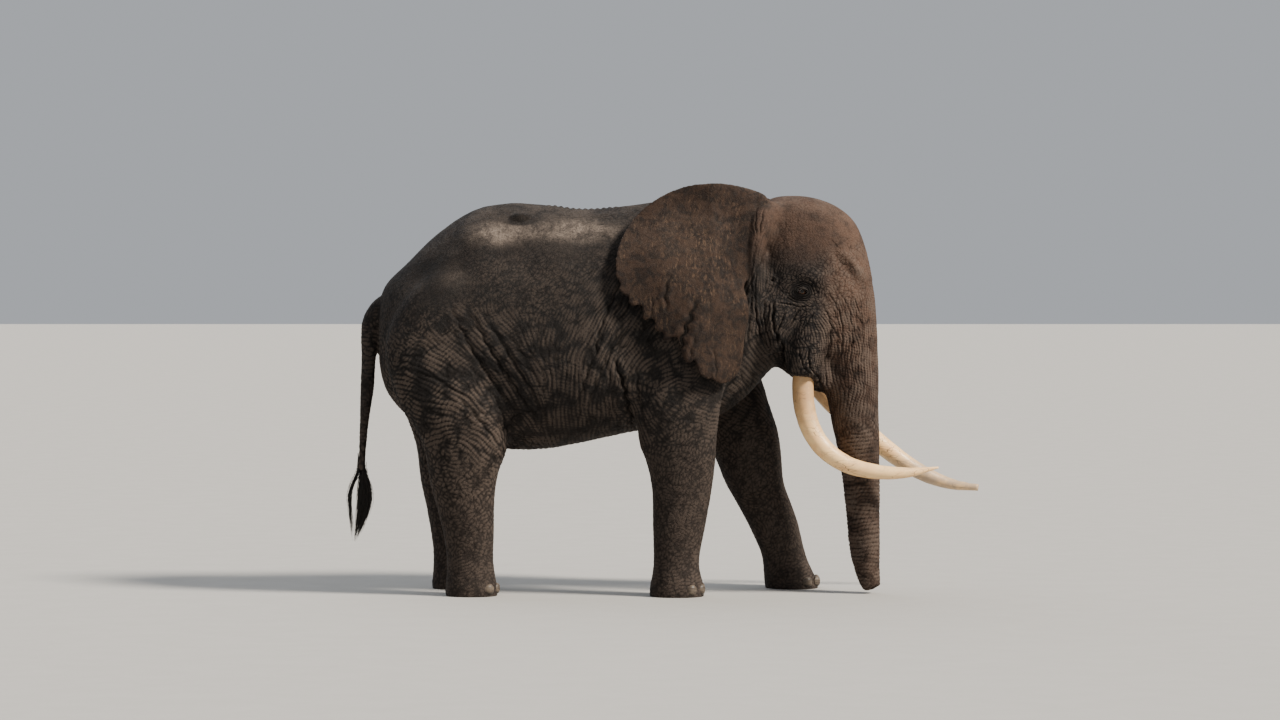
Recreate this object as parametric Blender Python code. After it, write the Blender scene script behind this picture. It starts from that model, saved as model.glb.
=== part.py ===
"""African savanna elephant bull, life size, standing with the left foreleg forward.

Metres, +Z up. The animal looks along +X and its left side is +Y. The flesh is modelled whole from lofted
bodies, melted together, and then parted with thin cuts into the parts a person would name.
"""

import math

import bmesh
import bpy
import numpy as np
from mathutils import Matrix, Vector
from mathutils.bvhtree import BVHTree

# ---- driving dimensions -------------------------------------------------------------------------------

GAP = 0.0004  # air left between neighbouring pieces
RIGHT, LEFT = -1, 1  # the side of the body, as the sign of Y

HEAD_TURN = math.radians(9.0)  # the head looks a little to its right
HEAD_PIVOT = Vector((0.92, 0.0, 0.0))

VOXEL = 0.030  # the lofts are melted together in cells of this size
MELT_STEPS = 9
FLESH_TRIANGLES = 2080
EAR_TRIANGLES = 270
FORM_SPREAD = 0.6  # a form's Gaussian width, as a share of its reach

# how many rings of how many points the flesh's lofts have
TORSO_RINGS, TORSO_SIDES = 60, 40
SKULL_RINGS, SKULL_SIDES = 30, 36
TRUNK_RINGS, TRUNK_SIDES = 40, 24
LEG_RINGS, LEG_SIDES = 44, 28
JAW_RINGS, SHEATH_RINGS, EAR_ROOT_RINGS, TUBE_SIDES = 16, 14, 12, 16

EYE = (1.381, 2.480)  # x and z of the pupil, in the head's own frame
EYE_RADIUS = 0.038
LID_THICKNESS = 0.012
LID_SIDES = 12
LID_ROOM = 1.09  # the lids' inside is faceted, so it is a little larger than the eyeball
SOCKET_ROOM = 1.08  # and the faceted socket is larger than the lids
LID_PROUD = 0.022  # how far the lids stand out of the head
LID_CORNER, LID_UPPER, LID_LOWER = 1.02, 0.50, 0.62  # half angles of the opening, in radians
# angles from the way the eye looks at which the lids' outer and inner faces have their rings of points
LID_OUTER_STOPS = (2.2, 1.55, 1.15)
LID_INNER_STOPS = (0.95, 1.55, 2.2)
EYE_LOOKS = (0.30, 1.0, 0.04)  # forward, outward and upward

SOLE_LEVEL = 0.0
MIDDLE = (0.2297, 0.0015)  # where the whole animal's middle stands in the frame that the tables are drawn in

# x, top, bottom, half width, height of the widest line
TORSO = (
    (-2.150, 2.40, 1.88, 0.11, 2.14),
    (-2.090, 2.55, 1.66, 0.28, 2.12),
    (-1.920, 2.715, 1.46, 0.46, 2.10),
    (-1.680, 2.950, 1.34, 0.56, 2.10),
    (-1.380, 3.150, 1.24, 0.62, 2.10),
    (-1.100, 3.210, 1.18, 0.65, 2.06),
    (-0.800, 3.200, 1.18, 0.69, 2.02),
    (-0.450, 3.160, 1.24, 0.72, 2.02),
    (-0.030, 3.200, 1.33, 0.70, 2.06),
    (0.350, 3.255, 1.39, 0.64, 2.12),
    (0.650, 3.225, 1.46, 0.57, 2.20),
    (0.880, 3.165, 1.62, 0.47, 2.32),
    (1.080, 3.100, 1.84, 0.40, 2.45),
    (1.280, 3.020, 2.02, 0.33, 2.52),
)
# how square the sections are: 2 is an ellipse
TORSO_POWER_UP, TORSO_POWER_DOWN, SKULL_POWER, LEG_POWER = 1.85, 2.15, 2.2, 2.15

# z, back x, front x, half width, how much narrower the front is
SKULL = (
    (3.268, 1.18, 1.33, 0.07, 0.1),
    (3.248, 1.08, 1.45, 0.19, 0.1),
    (3.180, 1.00, 1.625, 0.30, 0.15),
    (3.050, 0.94, 1.775, 0.375, 0.22),
    (2.850, 0.92, 1.860, 0.425, 0.30),
    (2.650, 0.93, 1.908, 0.45, 0.36),
    (2.450, 0.95, 1.940, 0.46, 0.40),
    (2.250, 1.00, 1.952, 0.44, 0.40),
    (2.080, 1.09, 1.950, 0.38, 0.36),
    (1.960, 1.20, 1.930, 0.29, 0.30),
)

# x, z, half depth, half width
TRUNK = (
    (1.600, 2.60, 0.300, 0.270),
    (1.660, 2.38, 0.285, 0.272),
    (1.705, 2.15, 0.255, 0.262),
    (1.735, 1.90, 0.235, 0.240),
    (1.757, 1.65, 0.215, 0.220),
    (1.775, 1.45, 0.198, 0.203),
    (1.808, 1.20, 0.178, 0.184),
    (1.828, 0.95, 0.158, 0.166),
    (1.842, 0.70, 0.144, 0.152),
    (1.858, 0.39, 0.130, 0.138),
    (1.880, 0.20, 0.108, 0.122),
    (1.905, 0.09, 0.088, 0.112),
    (1.925, 0.035, 0.078, 0.104),
)

# x, z, half depth, half width of the lower jaw, from the throat to the lip
JAW = (
    (0.980, 2.26, 0.24, 0.27),
    (1.120, 2.10, 0.175, 0.235),
    (1.260, 1.92, 0.125, 0.165),
    (1.380, 1.790, 0.085, 0.115),
    (1.460, 1.705, 0.055, 0.080),
    (1.505, 1.655, 0.026, 0.045),
)

# x, y, z, radius of the sheath that each tusk grows from
SHEATH = (
    (1.560, 0.180, 2.50, 0.13),
    (1.470, 0.235, 2.28, 0.168),
    (1.415, 0.262, 2.08, 0.170),
    (1.380, 0.280, 1.92, 0.152),
    (1.365, 0.290, 1.79, 0.128),
)

# x, y, z, radius along each tusk, from inside the sheath to the tip
TUSK_RIGHT = (
    (1.348, 0.290, 1.90, 0.084),
    (1.332, 0.300, 1.755, 0.089),
    (1.338, 0.325, 1.565, 0.086),
    (1.392, 0.350, 1.365, 0.082),
    (1.505, 0.375, 1.195, 0.077),
    (1.690, 0.395, 1.070, 0.070),
    (1.930, 0.400, 1.012, 0.059),
    (2.180, 0.385, 1.005, 0.042),
    (2.435, 0.345, 1.045, 0.007),
)
TUSK_LEFT = (
    (1.390, 0.290, 1.90, 0.080),
    (1.440, 0.300, 1.755, 0.084),
    (1.555, 0.330, 1.605, 0.084),
    (1.715, 0.370, 1.450, 0.083),
    (1.885, 0.405, 1.305, 0.081),
    (2.055, 0.430, 1.165, 0.077),
    (2.225, 0.440, 1.040, 0.071),
    (2.400, 0.435, 0.940, 0.062),
    (2.600, 0.420, 0.868, 0.046),
    (2.830, 0.390, 0.838, 0.027),
)
TUSK_RINGS, TUSK_SIDES = 16, 9
TIP_HOLLOW = (0.05, 0.014, 0.016)  # radii of the hollow in the worn tip
TIP_HOLLOW_AHEAD, TIP_HOLLOW_PITCH = 0.01, 4

# z, x, half length, y, half width
FORELEG = (
    (-0.06, 0.300, 0.222, 0.400, 0.212),
    (0.05, 0.300, 0.226, 0.400, 0.216),
    (0.16, 0.298, 0.204, 0.400, 0.194),
    (0.29, 0.296, 0.186, 0.400, 0.176),
    (0.57, 0.318, 0.217, 0.405, 0.184),
    (0.88, 0.342, 0.247, 0.415, 0.200),
    (1.13, 0.330, 0.288, 0.430, 0.222),
    (1.31, 0.312, 0.316, 0.440, 0.236),
    (1.60, 0.300, 0.365, 0.465, 0.240),
    (2.00, 0.340, 0.400, 0.475, 0.205),
    (2.40, 0.400, 0.350, 0.455, 0.165),
    (2.75, 0.470, 0.220, 0.400, 0.090),
)
HIND_LEG = (
    (-0.06, -1.375, 0.212, 0.360, 0.190),
    (0.05, -1.375, 0.216, 0.360, 0.194),
    (0.16, -1.380, 0.202, 0.360, 0.174),
    (0.30, -1.388, 0.192, 0.362, 0.160),
    (0.48, -1.395, 0.206, 0.366, 0.166),
    (0.72, -1.422, 0.236, 0.372, 0.186),
    (0.89, -1.440, 0.266, 0.378, 0.202),
    (1.03, -1.438, 0.292, 0.384, 0.216),
    (1.15, -1.428, 0.322, 0.388, 0.228),
    (1.29, -1.445, 0.350, 0.394, 0.240),
    (1.47, -1.485, 0.405, 0.400, 0.256),
    (1.70, -1.530, 0.480, 0.396, 0.255),
    (2.05, -1.560, 0.520, 0.378, 0.245),
    (2.45, -1.480, 0.430, 0.350, 0.195),
    (2.80, -1.360, 0.240, 0.320, 0.110),
)
# z, how far forward of the right one the left leg is at that height
FORE_STRIDE = (
    (0.0, 0.975),
    (0.29, 0.905),
    (0.57, 0.785),
    (0.88, 0.610),
    (1.31, 0.535),
    (1.7, 0.355),
    (2.2, 0.06),
)
HIND_STRIDE = ((0.0, -0.150), (0.5, -0.150), (1.3, -0.105), (2.0, 0.0))

# centre x, y and z, three radii and pitch in degrees of each swelling, on both sides
BODY_SWELLINGS = {
    "shoulder": ((0.30, 0.46, 2.12), (0.40, 0.235, 0.66), -8),
    "thigh": ((-1.50, 0.395, 1.98), (0.55, 0.235, 0.74), 6),
}
HEAD_SWELLINGS = {
    "cheek": ((1.17, 0.31, 2.24), (0.17, 0.125, 0.27), 12),
    "brow": ((1.44, 0.318, 2.61), (0.20, 0.080, 0.090), 25),
    "lip": ((1.49, 0.190, 1.84), (0.095, 0.090, 0.190), -22),
}
# centre x, y, z, reach and push along the surface's normal, on both sides: hollows are negative
FORMS = (
    (1.36, 0.30, 2.86, 0.17, -0.022),  # hollow of the temple
    (-1.34, 0.36, 2.93, 0.20, 0.030),  # hip bone
    (-0.92, 0.50, 2.72, 0.26, -0.028),  # hollow before the hip
    (-1.80, 0.40, 2.60, 0.22, -0.018),  # hollow behind the hip
    (-1.10, 0.53, 1.75, 0.22, -0.030),  # flank fold before the thigh
    (-1.12, 0.40, 1.20, 0.12, 0.016),  # knee cap
    (0.02, 0.48, 1.24, 0.12, 0.022),  # elbow
    (0.66, 0.58, 2.05, 0.20, -0.020),  # before the shoulder
    (-0.16, 0.65, 2.00, 0.20, -0.022),  # behind the shoulder
)

# x, z, radius along the tail, from inside the rump
TAIL = (
    (-1.980, 2.400, 0.095),
    (-2.110, 2.345, 0.100),
    (-2.195, 2.235, 0.092),
    (-2.222, 2.110, 0.080),
    (-2.238, 1.930, 0.060),
    (-2.250, 1.700, 0.056),
    (-2.262, 1.560, 0.048),
    (-2.277, 1.380, 0.036),
    (-2.294, 1.120, 0.028),
    (-2.300, 1.000, 0.026),
)
TAIL_RINGS, TAIL_SIDES = 13, 8
BRUSH_RINGS, BRUSH_SIDES = 9, 8
BRUSH_DROP = 0.003  # clears the tail's slanting end
# z, x, half width seen from the side, half thickness of the tail's brush
BRUSH = (
    (1.000, -2.300, 0.026, 0.024),
    (0.930, -2.303, 0.070, 0.034),
    (0.820, -2.312, 0.100, 0.040),
    (0.700, -2.318, 0.095, 0.038),
    (0.560, -2.338, 0.055, 0.026),
    (0.400, -2.365, 0.012, 0.010),
)

# x, y, z, radius of the gristle roll that each ear hangs from
EAR_ROOT = (
    (1.130, 0.230, 3.170, 0.085),
    (1.060, 0.345, 3.080, 0.110),
    (1.010, 0.415, 2.900, 0.095),
    (0.985, 0.450, 2.700, 0.070),
    (0.985, 0.440, 2.480, 0.045),
)
EAR_CENTRE = (0.48, 2.62)
# x, z of the ear's edge, round from its upper front corner over its top and down its torn rear
EAR_EDGE = (
    (1.08, 3.24),
    (0.83, 3.335),
    (0.55, 3.360),
    (0.18, 3.260),
    (-0.08, 3.040),
    (-0.19, 2.800),
    (-0.185, 2.540),
    (-0.03, 2.330),
    (0.16, 2.150),
    (0.35, 1.960),
    (0.53, 1.780),
    (0.68, 1.725),
    (0.78, 1.775),
    (0.825, 1.920),
    (0.835, 2.120),
    (0.83, 2.520),
    (0.90, 2.900),
)
# each tear's angle from the centre in degrees, depth, and width in degrees before and after its deepest point
EAR_TEARS = (
    (187, 0.020, 6, 2),
    (198, 0.030, 4, 3),
    (207.5, 0.070, 1.8, 9),
    (223.5, 0.062, 4, 6.5),
    (238, 0.026, 3.5, 2),
    (249.5, 0.105, 6, 8),
    (266.5, 0.075, 2.6, 3),
    (276.5, 0.018, 1.5, 3),
)
EAR_TEAR_POWER = 0.8
EAR_EDGE_BLUR = ((-6, 0.1), (-3, 0.2), (0, 0.4), (3, 0.2), (6, 0.1))  # degrees off and share
# directions of the sheet's points, in degrees: even ones, and the ends and the deepest point of each tear
EAR_SPOKES = sorted(
    {*range(-78, 180, 13)}
    | {way for where, _, before, after in EAR_TEARS for way in (where - before, where, where + after)}
)
EAR_THICK_ROOT = 0.050
EAR_THICK_EDGE = 0.022
EAR_RIM = 0.55  # the outermost ring's share of that thickness
EAR_THINS = (0.35, 0.95)  # between these x the thickness grows to that of the root
EAR_STAND_OFF = 0.092
EAR_SUNK = -0.050
EAR_FREE_BELOW, EAR_SINKS_OVER = 2.35, 0.25  # the lobe hangs free, and over it the root sinks in by and by
EAR_REARWARD = (0.95, 1.1)  # behind this x the sheet ripples, fully so this far behind it
EAR_LETS_GO = 3.0  # how much sooner the rear part stands off
EAR_RIPPLE = 0.012
EAR_WAVES = (9.0, 2.2)  # the ripple's radians per metre along X and up
EAR_LEFT_AHEAD = 0.13  # the turned head carries the left ear this far forward of the right one
EAR_LEFT_DROP = 0.05  # and lets it hang this much lower
EAR_CIRCLES = (0.40, 0.84, 1.0)  # how far out the sheet's rings of points are
# the grid of points where the ear asks how far out the flesh is
DRAPE_STEP = 0.06
DRAPE_LENGTHS = (-0.7, 1.5)
DRAPE_HEIGHTS = (1.3, 3.7)
DRAPE_LEAST = 0.30
DRAPE_SMOOTHING = 10
OUTSIDE = 3.0  # a distance beyond the body's sides, where rays start

# corners of the box that takes off each foot, lower limb, section of the torso and length of the trunk
FOOT_CUT = (0.33, 0.30)  # half length and half width
LOWER_LIMB_CUT = (0.52, 0.33)
KNEE_OVERLAP = 0.05  # how far the lower limb's cutter reaches into the foot's place, which is taken already
UNDER_FLOOR = -0.1
LIMB_CUT_SIDES = 8
# heights of the cuts over each foot and at each knee
FORE_ANKLE, FORE_KNEE = 0.21, 1.00
HIND_ANKLE, HIND_KNEE = 0.21, 1.00
# height, half length and half width of the cut that takes an upper limb off the torso
FORE_CUT = (
    (0.90, 0.40, 0.34),
    (1.35, 0.43, 0.37),
    (1.80, 0.47, 0.42),
    (2.20, 0.42, 0.42),
    (2.58, 0.16, 0.30),
)
HIND_CUT = (
    (0.90, 0.42, 0.34),
    (1.35, 0.50, 0.36),
    (1.75, 0.58, 0.37),
    (2.20, 0.50, 0.36),
    (2.58, 0.20, 0.28),
)

# lower and upper height of each length of the trunk below the face
TRUNK_LENGTHS = (("trunk_tip", -0.2, 0.40), ("trunk_lower", 0.38, 1.02), ("trunk_middle", 1.0, 1.58))
TRUNK_CUT = ((1.50, -0.45), (2.3, 0.33))  # x and y of its corners, clear of both tusks
# lowest and highest corner of the cutter, where its origin is placed and its pitch in degrees
JAW_CUT = ((-0.30, -0.15, -0.35), (0.27, 0.15, 0.0), (1.32, 0.0, 1.83), 40)
FACE_CUT = ((-0.42, -0.5, -1.2), (0.60, 0.5, 0.0), (1.76, 0.0, 1.93), -50)
# rear and front of each section of the torso
SECTIONS = (
    ("hindquarters", -2.6, -0.98),
    ("barrel", -1.0, -0.06),
    ("chest", -0.08, 0.66),
    ("neck", 0.64, 0.90),
)
SECTION_CUT = ((-1.2, 0.9), (1.2, 3.6))  # y and z of its corners
TAIL_JOINT = 1.72
TAIL_CUT = ((-2.6, -0.3, 0.5), (-1.9, 0.3, TAIL_JOINT))
NOSTRIL = (0.018, 0.050, 0.16)  # radius, distance from the middle, depth
NOSTRIL_WIDER = 1.3

NAIL_SIZE = (0.026, 0.050, 0.044)  # half thickness, half width, half height
NAIL_SIDES = 8
NAIL_FRONT = 0.70  # the bevelled front's share of the nail's size
NAIL_SINK = 0.012
FORE_NAILS = (-54, -19, 19, 54)  # degrees from straight ahead
HIND_NAILS = (-38, 0, 38)
NAIL_LIFT = 0.016  # air under a nail


# ---- small helpers ------------------------------------------------------------------------------------


def resampled(rows, count):
    """Rows of numbers read from a Catmull-Rom spline through them."""
    rows = np.array(rows, float)
    padded = np.vstack([2 * rows[0] - rows[1], rows, 2 * rows[-1] - rows[-2]])
    where = np.linspace(0, len(rows) - 1, count)
    start = np.minimum(where.astype(int), len(rows) - 2)
    t = (where - start)[:, None]
    a, b, c, d = (padded[start + step] for step in range(4))
    return 0.5 * (2 * b + (c - a) * t + (2 * a - 5 * b + 4 * c - d) * t**2 + (3 * b - 3 * c + d - a) * t**3)


def superellipse(angle, power):
    """The unit superellipse's cosine and sine sides at an angle."""
    c, s = math.cos(angle), math.sin(angle)
    return math.copysign(abs(c) ** (2 / power), c), math.copysign(abs(s) ** (2 / power), s)


def oval(centre, long, wide, sides):
    """A level ring of points round a centre."""
    x, y, z = centre
    turns = [2 * math.pi * k / sides for k in range(sides)]
    return [(x + long * math.cos(turn), y + wide * math.sin(turn), z) for turn in turns]


def loft(name, rings, endless=False):
    """A closed mesh through rings of equally many points, capped to a middle point at each end or endless."""
    count, turns = len(rings[0]), len(rings)
    points = [tuple(p) for ring in rings for p in ring]
    faces = []
    for i in range(turns if endless else turns - 1):
        here, there = i * count, (i + 1) % turns * count
        for j in range(count):
            k = (j + 1) % count
            faces.append((here + j, here + k, there + k, there + j))
    if not endless:
        points += [tuple(np.mean(rings[0], axis=0)), tuple(np.mean(rings[-1], axis=0))]
        first, last, top = len(points) - 2, len(points) - 1, (turns - 1) * count
        for j in range(count):
            k = (j + 1) % count
            faces.append((k, j, first))
            faces.append((top + j, top + k, last))
    mesh = bpy.data.meshes.new(name)
    mesh.from_pydata(points, [], faces)
    body = bmesh.new()
    body.from_mesh(mesh)
    bmesh.ops.recalc_face_normals(body, faces=body.faces)
    body.to_mesh(mesh)
    body.free()
    obj = bpy.data.objects.new(name, mesh)
    bpy.context.collection.objects.link(obj)
    return obj


def tube(name, rows, sides=TUBE_SIDES):
    """A loft along a path: rows of x, y, z, radius in its bending plane and radius across it."""
    rows = np.array(rows, float)
    along = np.gradient(rows[:, :3], axis=0)
    rings = []
    for row, way in zip(rows, along):
        way = Vector(way).normalized()
        across = (Vector((0.0, 1.0, 0.0)) - way * way.y).normalized()
        bend = way.cross(across)
        ring = []
        for k in range(sides):
            angle = 2 * math.pi * k / sides
            ring.append(Vector(row[:3]) + bend * row[3] * math.cos(angle) + across * row[4] * math.sin(angle))
        rings.append(ring)
    return loft(name, rings)


def ellipsoid(name, centre, radii, detail=3, turn=(0.0, 0.0, 0.0)):
    mesh = bpy.data.meshes.new(name)
    body = bmesh.new()
    bmesh.ops.create_icosphere(body, subdivisions=detail, radius=1.0)
    body.to_mesh(mesh)
    body.free()
    place = Matrix.Translation(centre)
    for axis, degrees in zip("XYZ", turn):
        place = place @ Matrix.Rotation(math.radians(degrees), 4, axis)
    mesh.transform(place @ Matrix.Diagonal((*radii, 1.0)))
    obj = bpy.data.objects.new(name, mesh)
    bpy.context.collection.objects.link(obj)
    return obj


def turn_head(*objects):
    """Turns what belongs to the head about the neck's upright line."""
    turn = Matrix.Rotation(-HEAD_TURN, 4, "Z")
    turn = Matrix.Translation(HEAD_PIVOT) @ turn @ Matrix.Translation(-HEAD_PIVOT)
    for obj in objects:
        obj.data.transform(turn)


def head_point(x, y, z):
    """A point of the straight-ahead head, where the turned head has it."""
    turn = Matrix.Rotation(-HEAD_TURN, 3, "Z")
    return turn @ (Vector((x, y, z)) - HEAD_PIVOT) + HEAD_PIVOT


def applied(obj):
    """The object with its modifiers made part of its mesh."""
    graph = bpy.context.evaluated_depsgraph_get()
    bpy.context.view_layer.update()
    mesh = bpy.data.meshes.new_from_object(obj.evaluated_get(graph))
    obj.modifiers.clear()
    obj.data = mesh
    return obj


def joined(name, objects):
    body = bmesh.new()
    for obj in objects:
        body.from_mesh(obj.data)
        bpy.data.objects.remove(obj)
    mesh = bpy.data.meshes.new(name)
    body.to_mesh(mesh)
    body.free()
    obj = bpy.data.objects.new(name, mesh)
    bpy.context.collection.objects.link(obj)
    return obj


def cut(obj, cutter):
    """Takes the cutter's volume away from the object."""
    knife = obj.modifiers.new("cut", "BOOLEAN")
    knife.object = cutter
    applied(obj)
    bpy.data.objects.remove(cutter)
    return obj


def largest_body(obj):
    """Keeps only the largest of the object's separate bodies."""
    body = bmesh.new()
    body.from_mesh(obj.data)
    unseen, islands = set(body.verts), []
    while unseen:
        stack = [unseen.pop()]
        island = set(stack)
        while stack:
            for edge in stack.pop().link_edges:
                for vert in edge.verts:
                    if vert in unseen:
                        unseen.discard(vert)
                        island.add(vert)
                        stack.append(vert)
        islands.append(island)
    largest = max(islands, key=len)
    bmesh.ops.delete(body, geom=[vert for vert in body.verts if vert not in largest], context="VERTS")
    body.to_mesh(obj.data)
    body.free()
    return obj


def grown(obj, name, by):
    """A copy of the object, larger by a distance all round."""
    mesh = obj.data.copy()
    copy = bpy.data.objects.new(name, mesh)
    bpy.context.collection.objects.link(copy)
    points = np.empty(len(mesh.vertices) * 3)
    mesh.vertices.foreach_get("co", points)
    normals = np.empty(len(mesh.vertices) * 3)
    mesh.vertex_normals.foreach_get("vector", normals)
    mesh.vertices.foreach_set("co", points + by * normals)
    mesh.update()
    return copy


def triangulated(obj):
    body = bmesh.new()
    body.from_mesh(obj.data)
    bmesh.ops.triangulate(body, faces=body.faces)
    body.to_mesh(obj.data)
    body.free()
    return obj


def reduced(obj, triangles):
    """Fewer triangles, the flatter places first."""
    triangulated(obj)
    fewer = obj.modifiers.new("fewer", "DECIMATE")
    fewer.ratio = min(1.0, triangles / len(obj.data.polygons))
    return applied(obj)


# ---- the bodies that the flesh is melted from -----------------------------------------------------------


def torso():
    rings = []
    for x, top, bottom, half, widest in resampled(TORSO, TORSO_RINGS):
        ring = []
        for k in range(TORSO_SIDES):
            angle = 2 * math.pi * k / TORSO_SIDES
            power = TORSO_POWER_UP if math.sin(angle) > 0 else TORSO_POWER_DOWN
            across, up = superellipse(angle, power)
            height = top - widest if up > 0 else widest - bottom
            ring.append((x, half * across, widest + height * up))
        rings.append(ring)
    return loft("torso_body", rings)


def skull():
    rings = []
    for z, back, front, half, taper in resampled(SKULL, SKULL_RINGS):
        middle, reach = (back + front) / 2, (front - back) / 2
        ring = []
        for k in range(SKULL_SIDES):
            along, across = superellipse(2 * math.pi * k / SKULL_SIDES, SKULL_POWER)
            narrowed = half * (1 - taper * (along + 1) / 2)
            ring.append((middle + reach * along, narrowed * across, z))
        rings.append(ring)
    return loft("skull_body", rings)


def trunk():
    rows = resampled(TRUNK, TRUNK_RINGS)
    return tube("trunk_body", [(x, 0.0, z, deep, wide) for x, z, deep, wide in rows], TRUNK_SIDES)


def lower_jaw():
    rows = resampled(JAW, JAW_RINGS)
    return tube("jaw_body", [(x, 0.0, z, deep, wide) for x, z, deep, wide in rows])


def sheath(side):
    rows = resampled(SHEATH, SHEATH_RINGS)
    return tube("sheath_body", [(x, side * y, z, r, r) for x, y, z, r in rows])


def leg(rows, side, stride):
    rings = []
    heights, shifts = np.array(stride).T
    for z, x, long, y, wide in resampled(rows, LEG_RINGS):
        ahead = np.interp(z, heights, shifts) if side == LEFT else 0.0
        ring = []
        for k in range(LEG_SIDES):
            along, across = superellipse(2 * math.pi * k / LEG_SIDES, LEG_POWER)
            ring.append((x + ahead + long * along, side * y + wide * across, z))
        rings.append(ring)
    return loft("leg_body", rings)


def swellings(rows):
    """Ellipsoids on both sides of the body, which swell over the lofts."""
    masses = []
    for side in (RIGHT, LEFT):
        for name, ((x, y, z), radii, pitch) in rows.items():
            masses.append(ellipsoid(name, (x, side * y, z), radii, turn=(0, pitch, 0)))
    return masses


def ear_roots():
    """The gristle rolls that the ears hang from."""
    rows = resampled(EAR_ROOT, EAR_ROOT_RINGS)
    return [tube("ear_root", [(x, side * y, z, r, r) for x, y, z, r in rows]) for side in (RIGHT, LEFT)]


def push_forms(obj):
    """Raises and hollows the melted surface at the places that FORMS names."""
    mesh = obj.data
    points = np.empty(len(mesh.vertices) * 3)
    mesh.vertices.foreach_get("co", points)
    points = points.reshape(-1, 3)
    normals = np.empty(len(mesh.vertices) * 3)
    mesh.vertex_normals.foreach_get("vector", normals)
    normals = normals.reshape(-1, 3)
    for x, y, z, reach, push in FORMS:
        for side in (RIGHT, LEFT):
            off = points - (x, side * y, z)
            weight = np.exp(-(off**2).sum(axis=1) / (reach * FORM_SPREAD) ** 2 / 2)
            points += normals * (push * weight)[:, None]
    mesh.vertices.foreach_set("co", points.reshape(-1))
    mesh.update()


def flesh():
    """Head, torso and legs as one closed body."""
    head = [skull(), trunk(), lower_jaw(), sheath(RIGHT), sheath(LEFT)]
    head += swellings(HEAD_SWELLINGS) + ear_roots()
    turn_head(*head)
    legs = [leg(FORELEG, side, FORE_STRIDE) for side in (RIGHT, LEFT)]
    legs += [leg(HIND_LEG, side, HIND_STRIDE) for side in (RIGHT, LEFT)]
    whole = joined("flesh", [torso(), *head, *legs, *swellings(BODY_SWELLINGS)])
    melt = whole.modifiers.new("melt", "REMESH")
    melt.mode = "VOXEL"
    melt.voxel_size = VOXEL
    relax = whole.modifiers.new("relax", "SMOOTH")
    relax.factor = 0.5
    relax.iterations = MELT_STEPS
    applied(whole)
    push_forms(whole)
    reduced(whole, FLESH_TRIANGLES)
    return level_soles(whole)


def level_soles(whole):
    """Cuts the feet off flat at the sole level, and closes the cuts."""
    body = bmesh.new()
    body.from_mesh(whole.data)
    everything = body.verts[:] + body.edges[:] + body.faces[:]
    bmesh.ops.bisect_plane(
        body, geom=everything, plane_co=(0, 0, SOLE_LEVEL), plane_no=(0, 0, -1), clear_outer=True
    )
    open_edges = [edge for edge in body.edges if edge.is_boundary]
    bmesh.ops.holes_fill(body, edges=open_edges, sides=0)
    bmesh.ops.triangulate(body, faces=body.faces)
    bmesh.ops.recalc_face_normals(body, faces=body.faces)
    body.to_mesh(whole.data)
    body.free()
    return whole


# ---- pieces set on the flesh ----------------------------------------------------------------------------


def surface_of(obj):
    """The object's surface, for rays to hit."""
    return BVHTree.FromPolygons([v.co for v in obj.data.vertices], [p.vertices for p in obj.data.polygons])


def ear_reach(angle, torn):
    """How far the ear's edge is from its centre, in a direction in degrees, with or without the tears."""
    spots = [(math.atan2(z - EAR_CENTRE[1], x - EAR_CENTRE[0]), x, z) for x, z in EAR_EDGE]
    spots = sorted((math.degrees(way) % 360, math.dist(EAR_CENTRE, (x, z))) for way, x, z in spots)
    ways = np.array([spots[-1][0] - 360, *(way for way, _ in spots), spots[0][0] + 360])
    reaches = np.array([spots[-1][1], *(reach for _, reach in spots), spots[0][1]])
    reach = sum(share * np.interp((angle + step) % 360, ways, reaches) for step, share in EAR_EDGE_BLUR)
    if torn:
        for where, depth, before, after in EAR_TEARS:
            off = (angle - where + 180) % 360 - 180
            off = -off / before if off < 0 else off / after
            reach -= depth * max(0.0, 1 - off) ** EAR_TEAR_POWER
    return reach


def flank_of(whole, side):
    """The flesh's distance from the middle plane on one side, as a smooth function of x and z."""
    tree = surface_of(whole)
    lengths = np.arange(*DRAPE_LENGTHS, DRAPE_STEP)
    heights = np.arange(*DRAPE_HEIGHTS, DRAPE_STEP)
    reach = np.full((len(lengths), len(heights)), DRAPE_LEAST)
    for i, x in enumerate(lengths):
        for j, z in enumerate(heights):
            hit = tree.ray_cast(Vector((x, side * OUTSIDE, z)), Vector((0.0, -side, 0.0)))[0]
            if hit:
                reach[i, j] = max(DRAPE_LEAST, side * hit.y)
    spread = np.pad(reach, 1, mode="edge")
    shape = reach.shape
    reach = np.max([spread[a : a + shape[0], b : b + shape[1]] for a in range(3) for b in range(3)], axis=0)
    for _ in range(DRAPE_SMOOTHING):
        spread = np.pad(reach, 1, mode="edge")
        reach = (spread[:-2, 1:-1] + spread[2:, 1:-1] + spread[1:-1, :-2] + spread[1:-1, 2:] + 4 * reach) / 8

    def distance(x, z):
        u = min(max((x - lengths[0]) / DRAPE_STEP, 0), len(lengths) - 1.001)
        v = min(max((z - heights[0]) / DRAPE_STEP, 0), len(heights) - 1.001)
        i, j = int(u), int(v)
        u, v = u - i, v - j
        near = reach[i, j] * (1 - v) + reach[i, j + 1] * v
        return near * (1 - u) + (reach[i + 1, j] * (1 - v) + reach[i + 1, j + 1] * v) * u

    return distance


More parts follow.
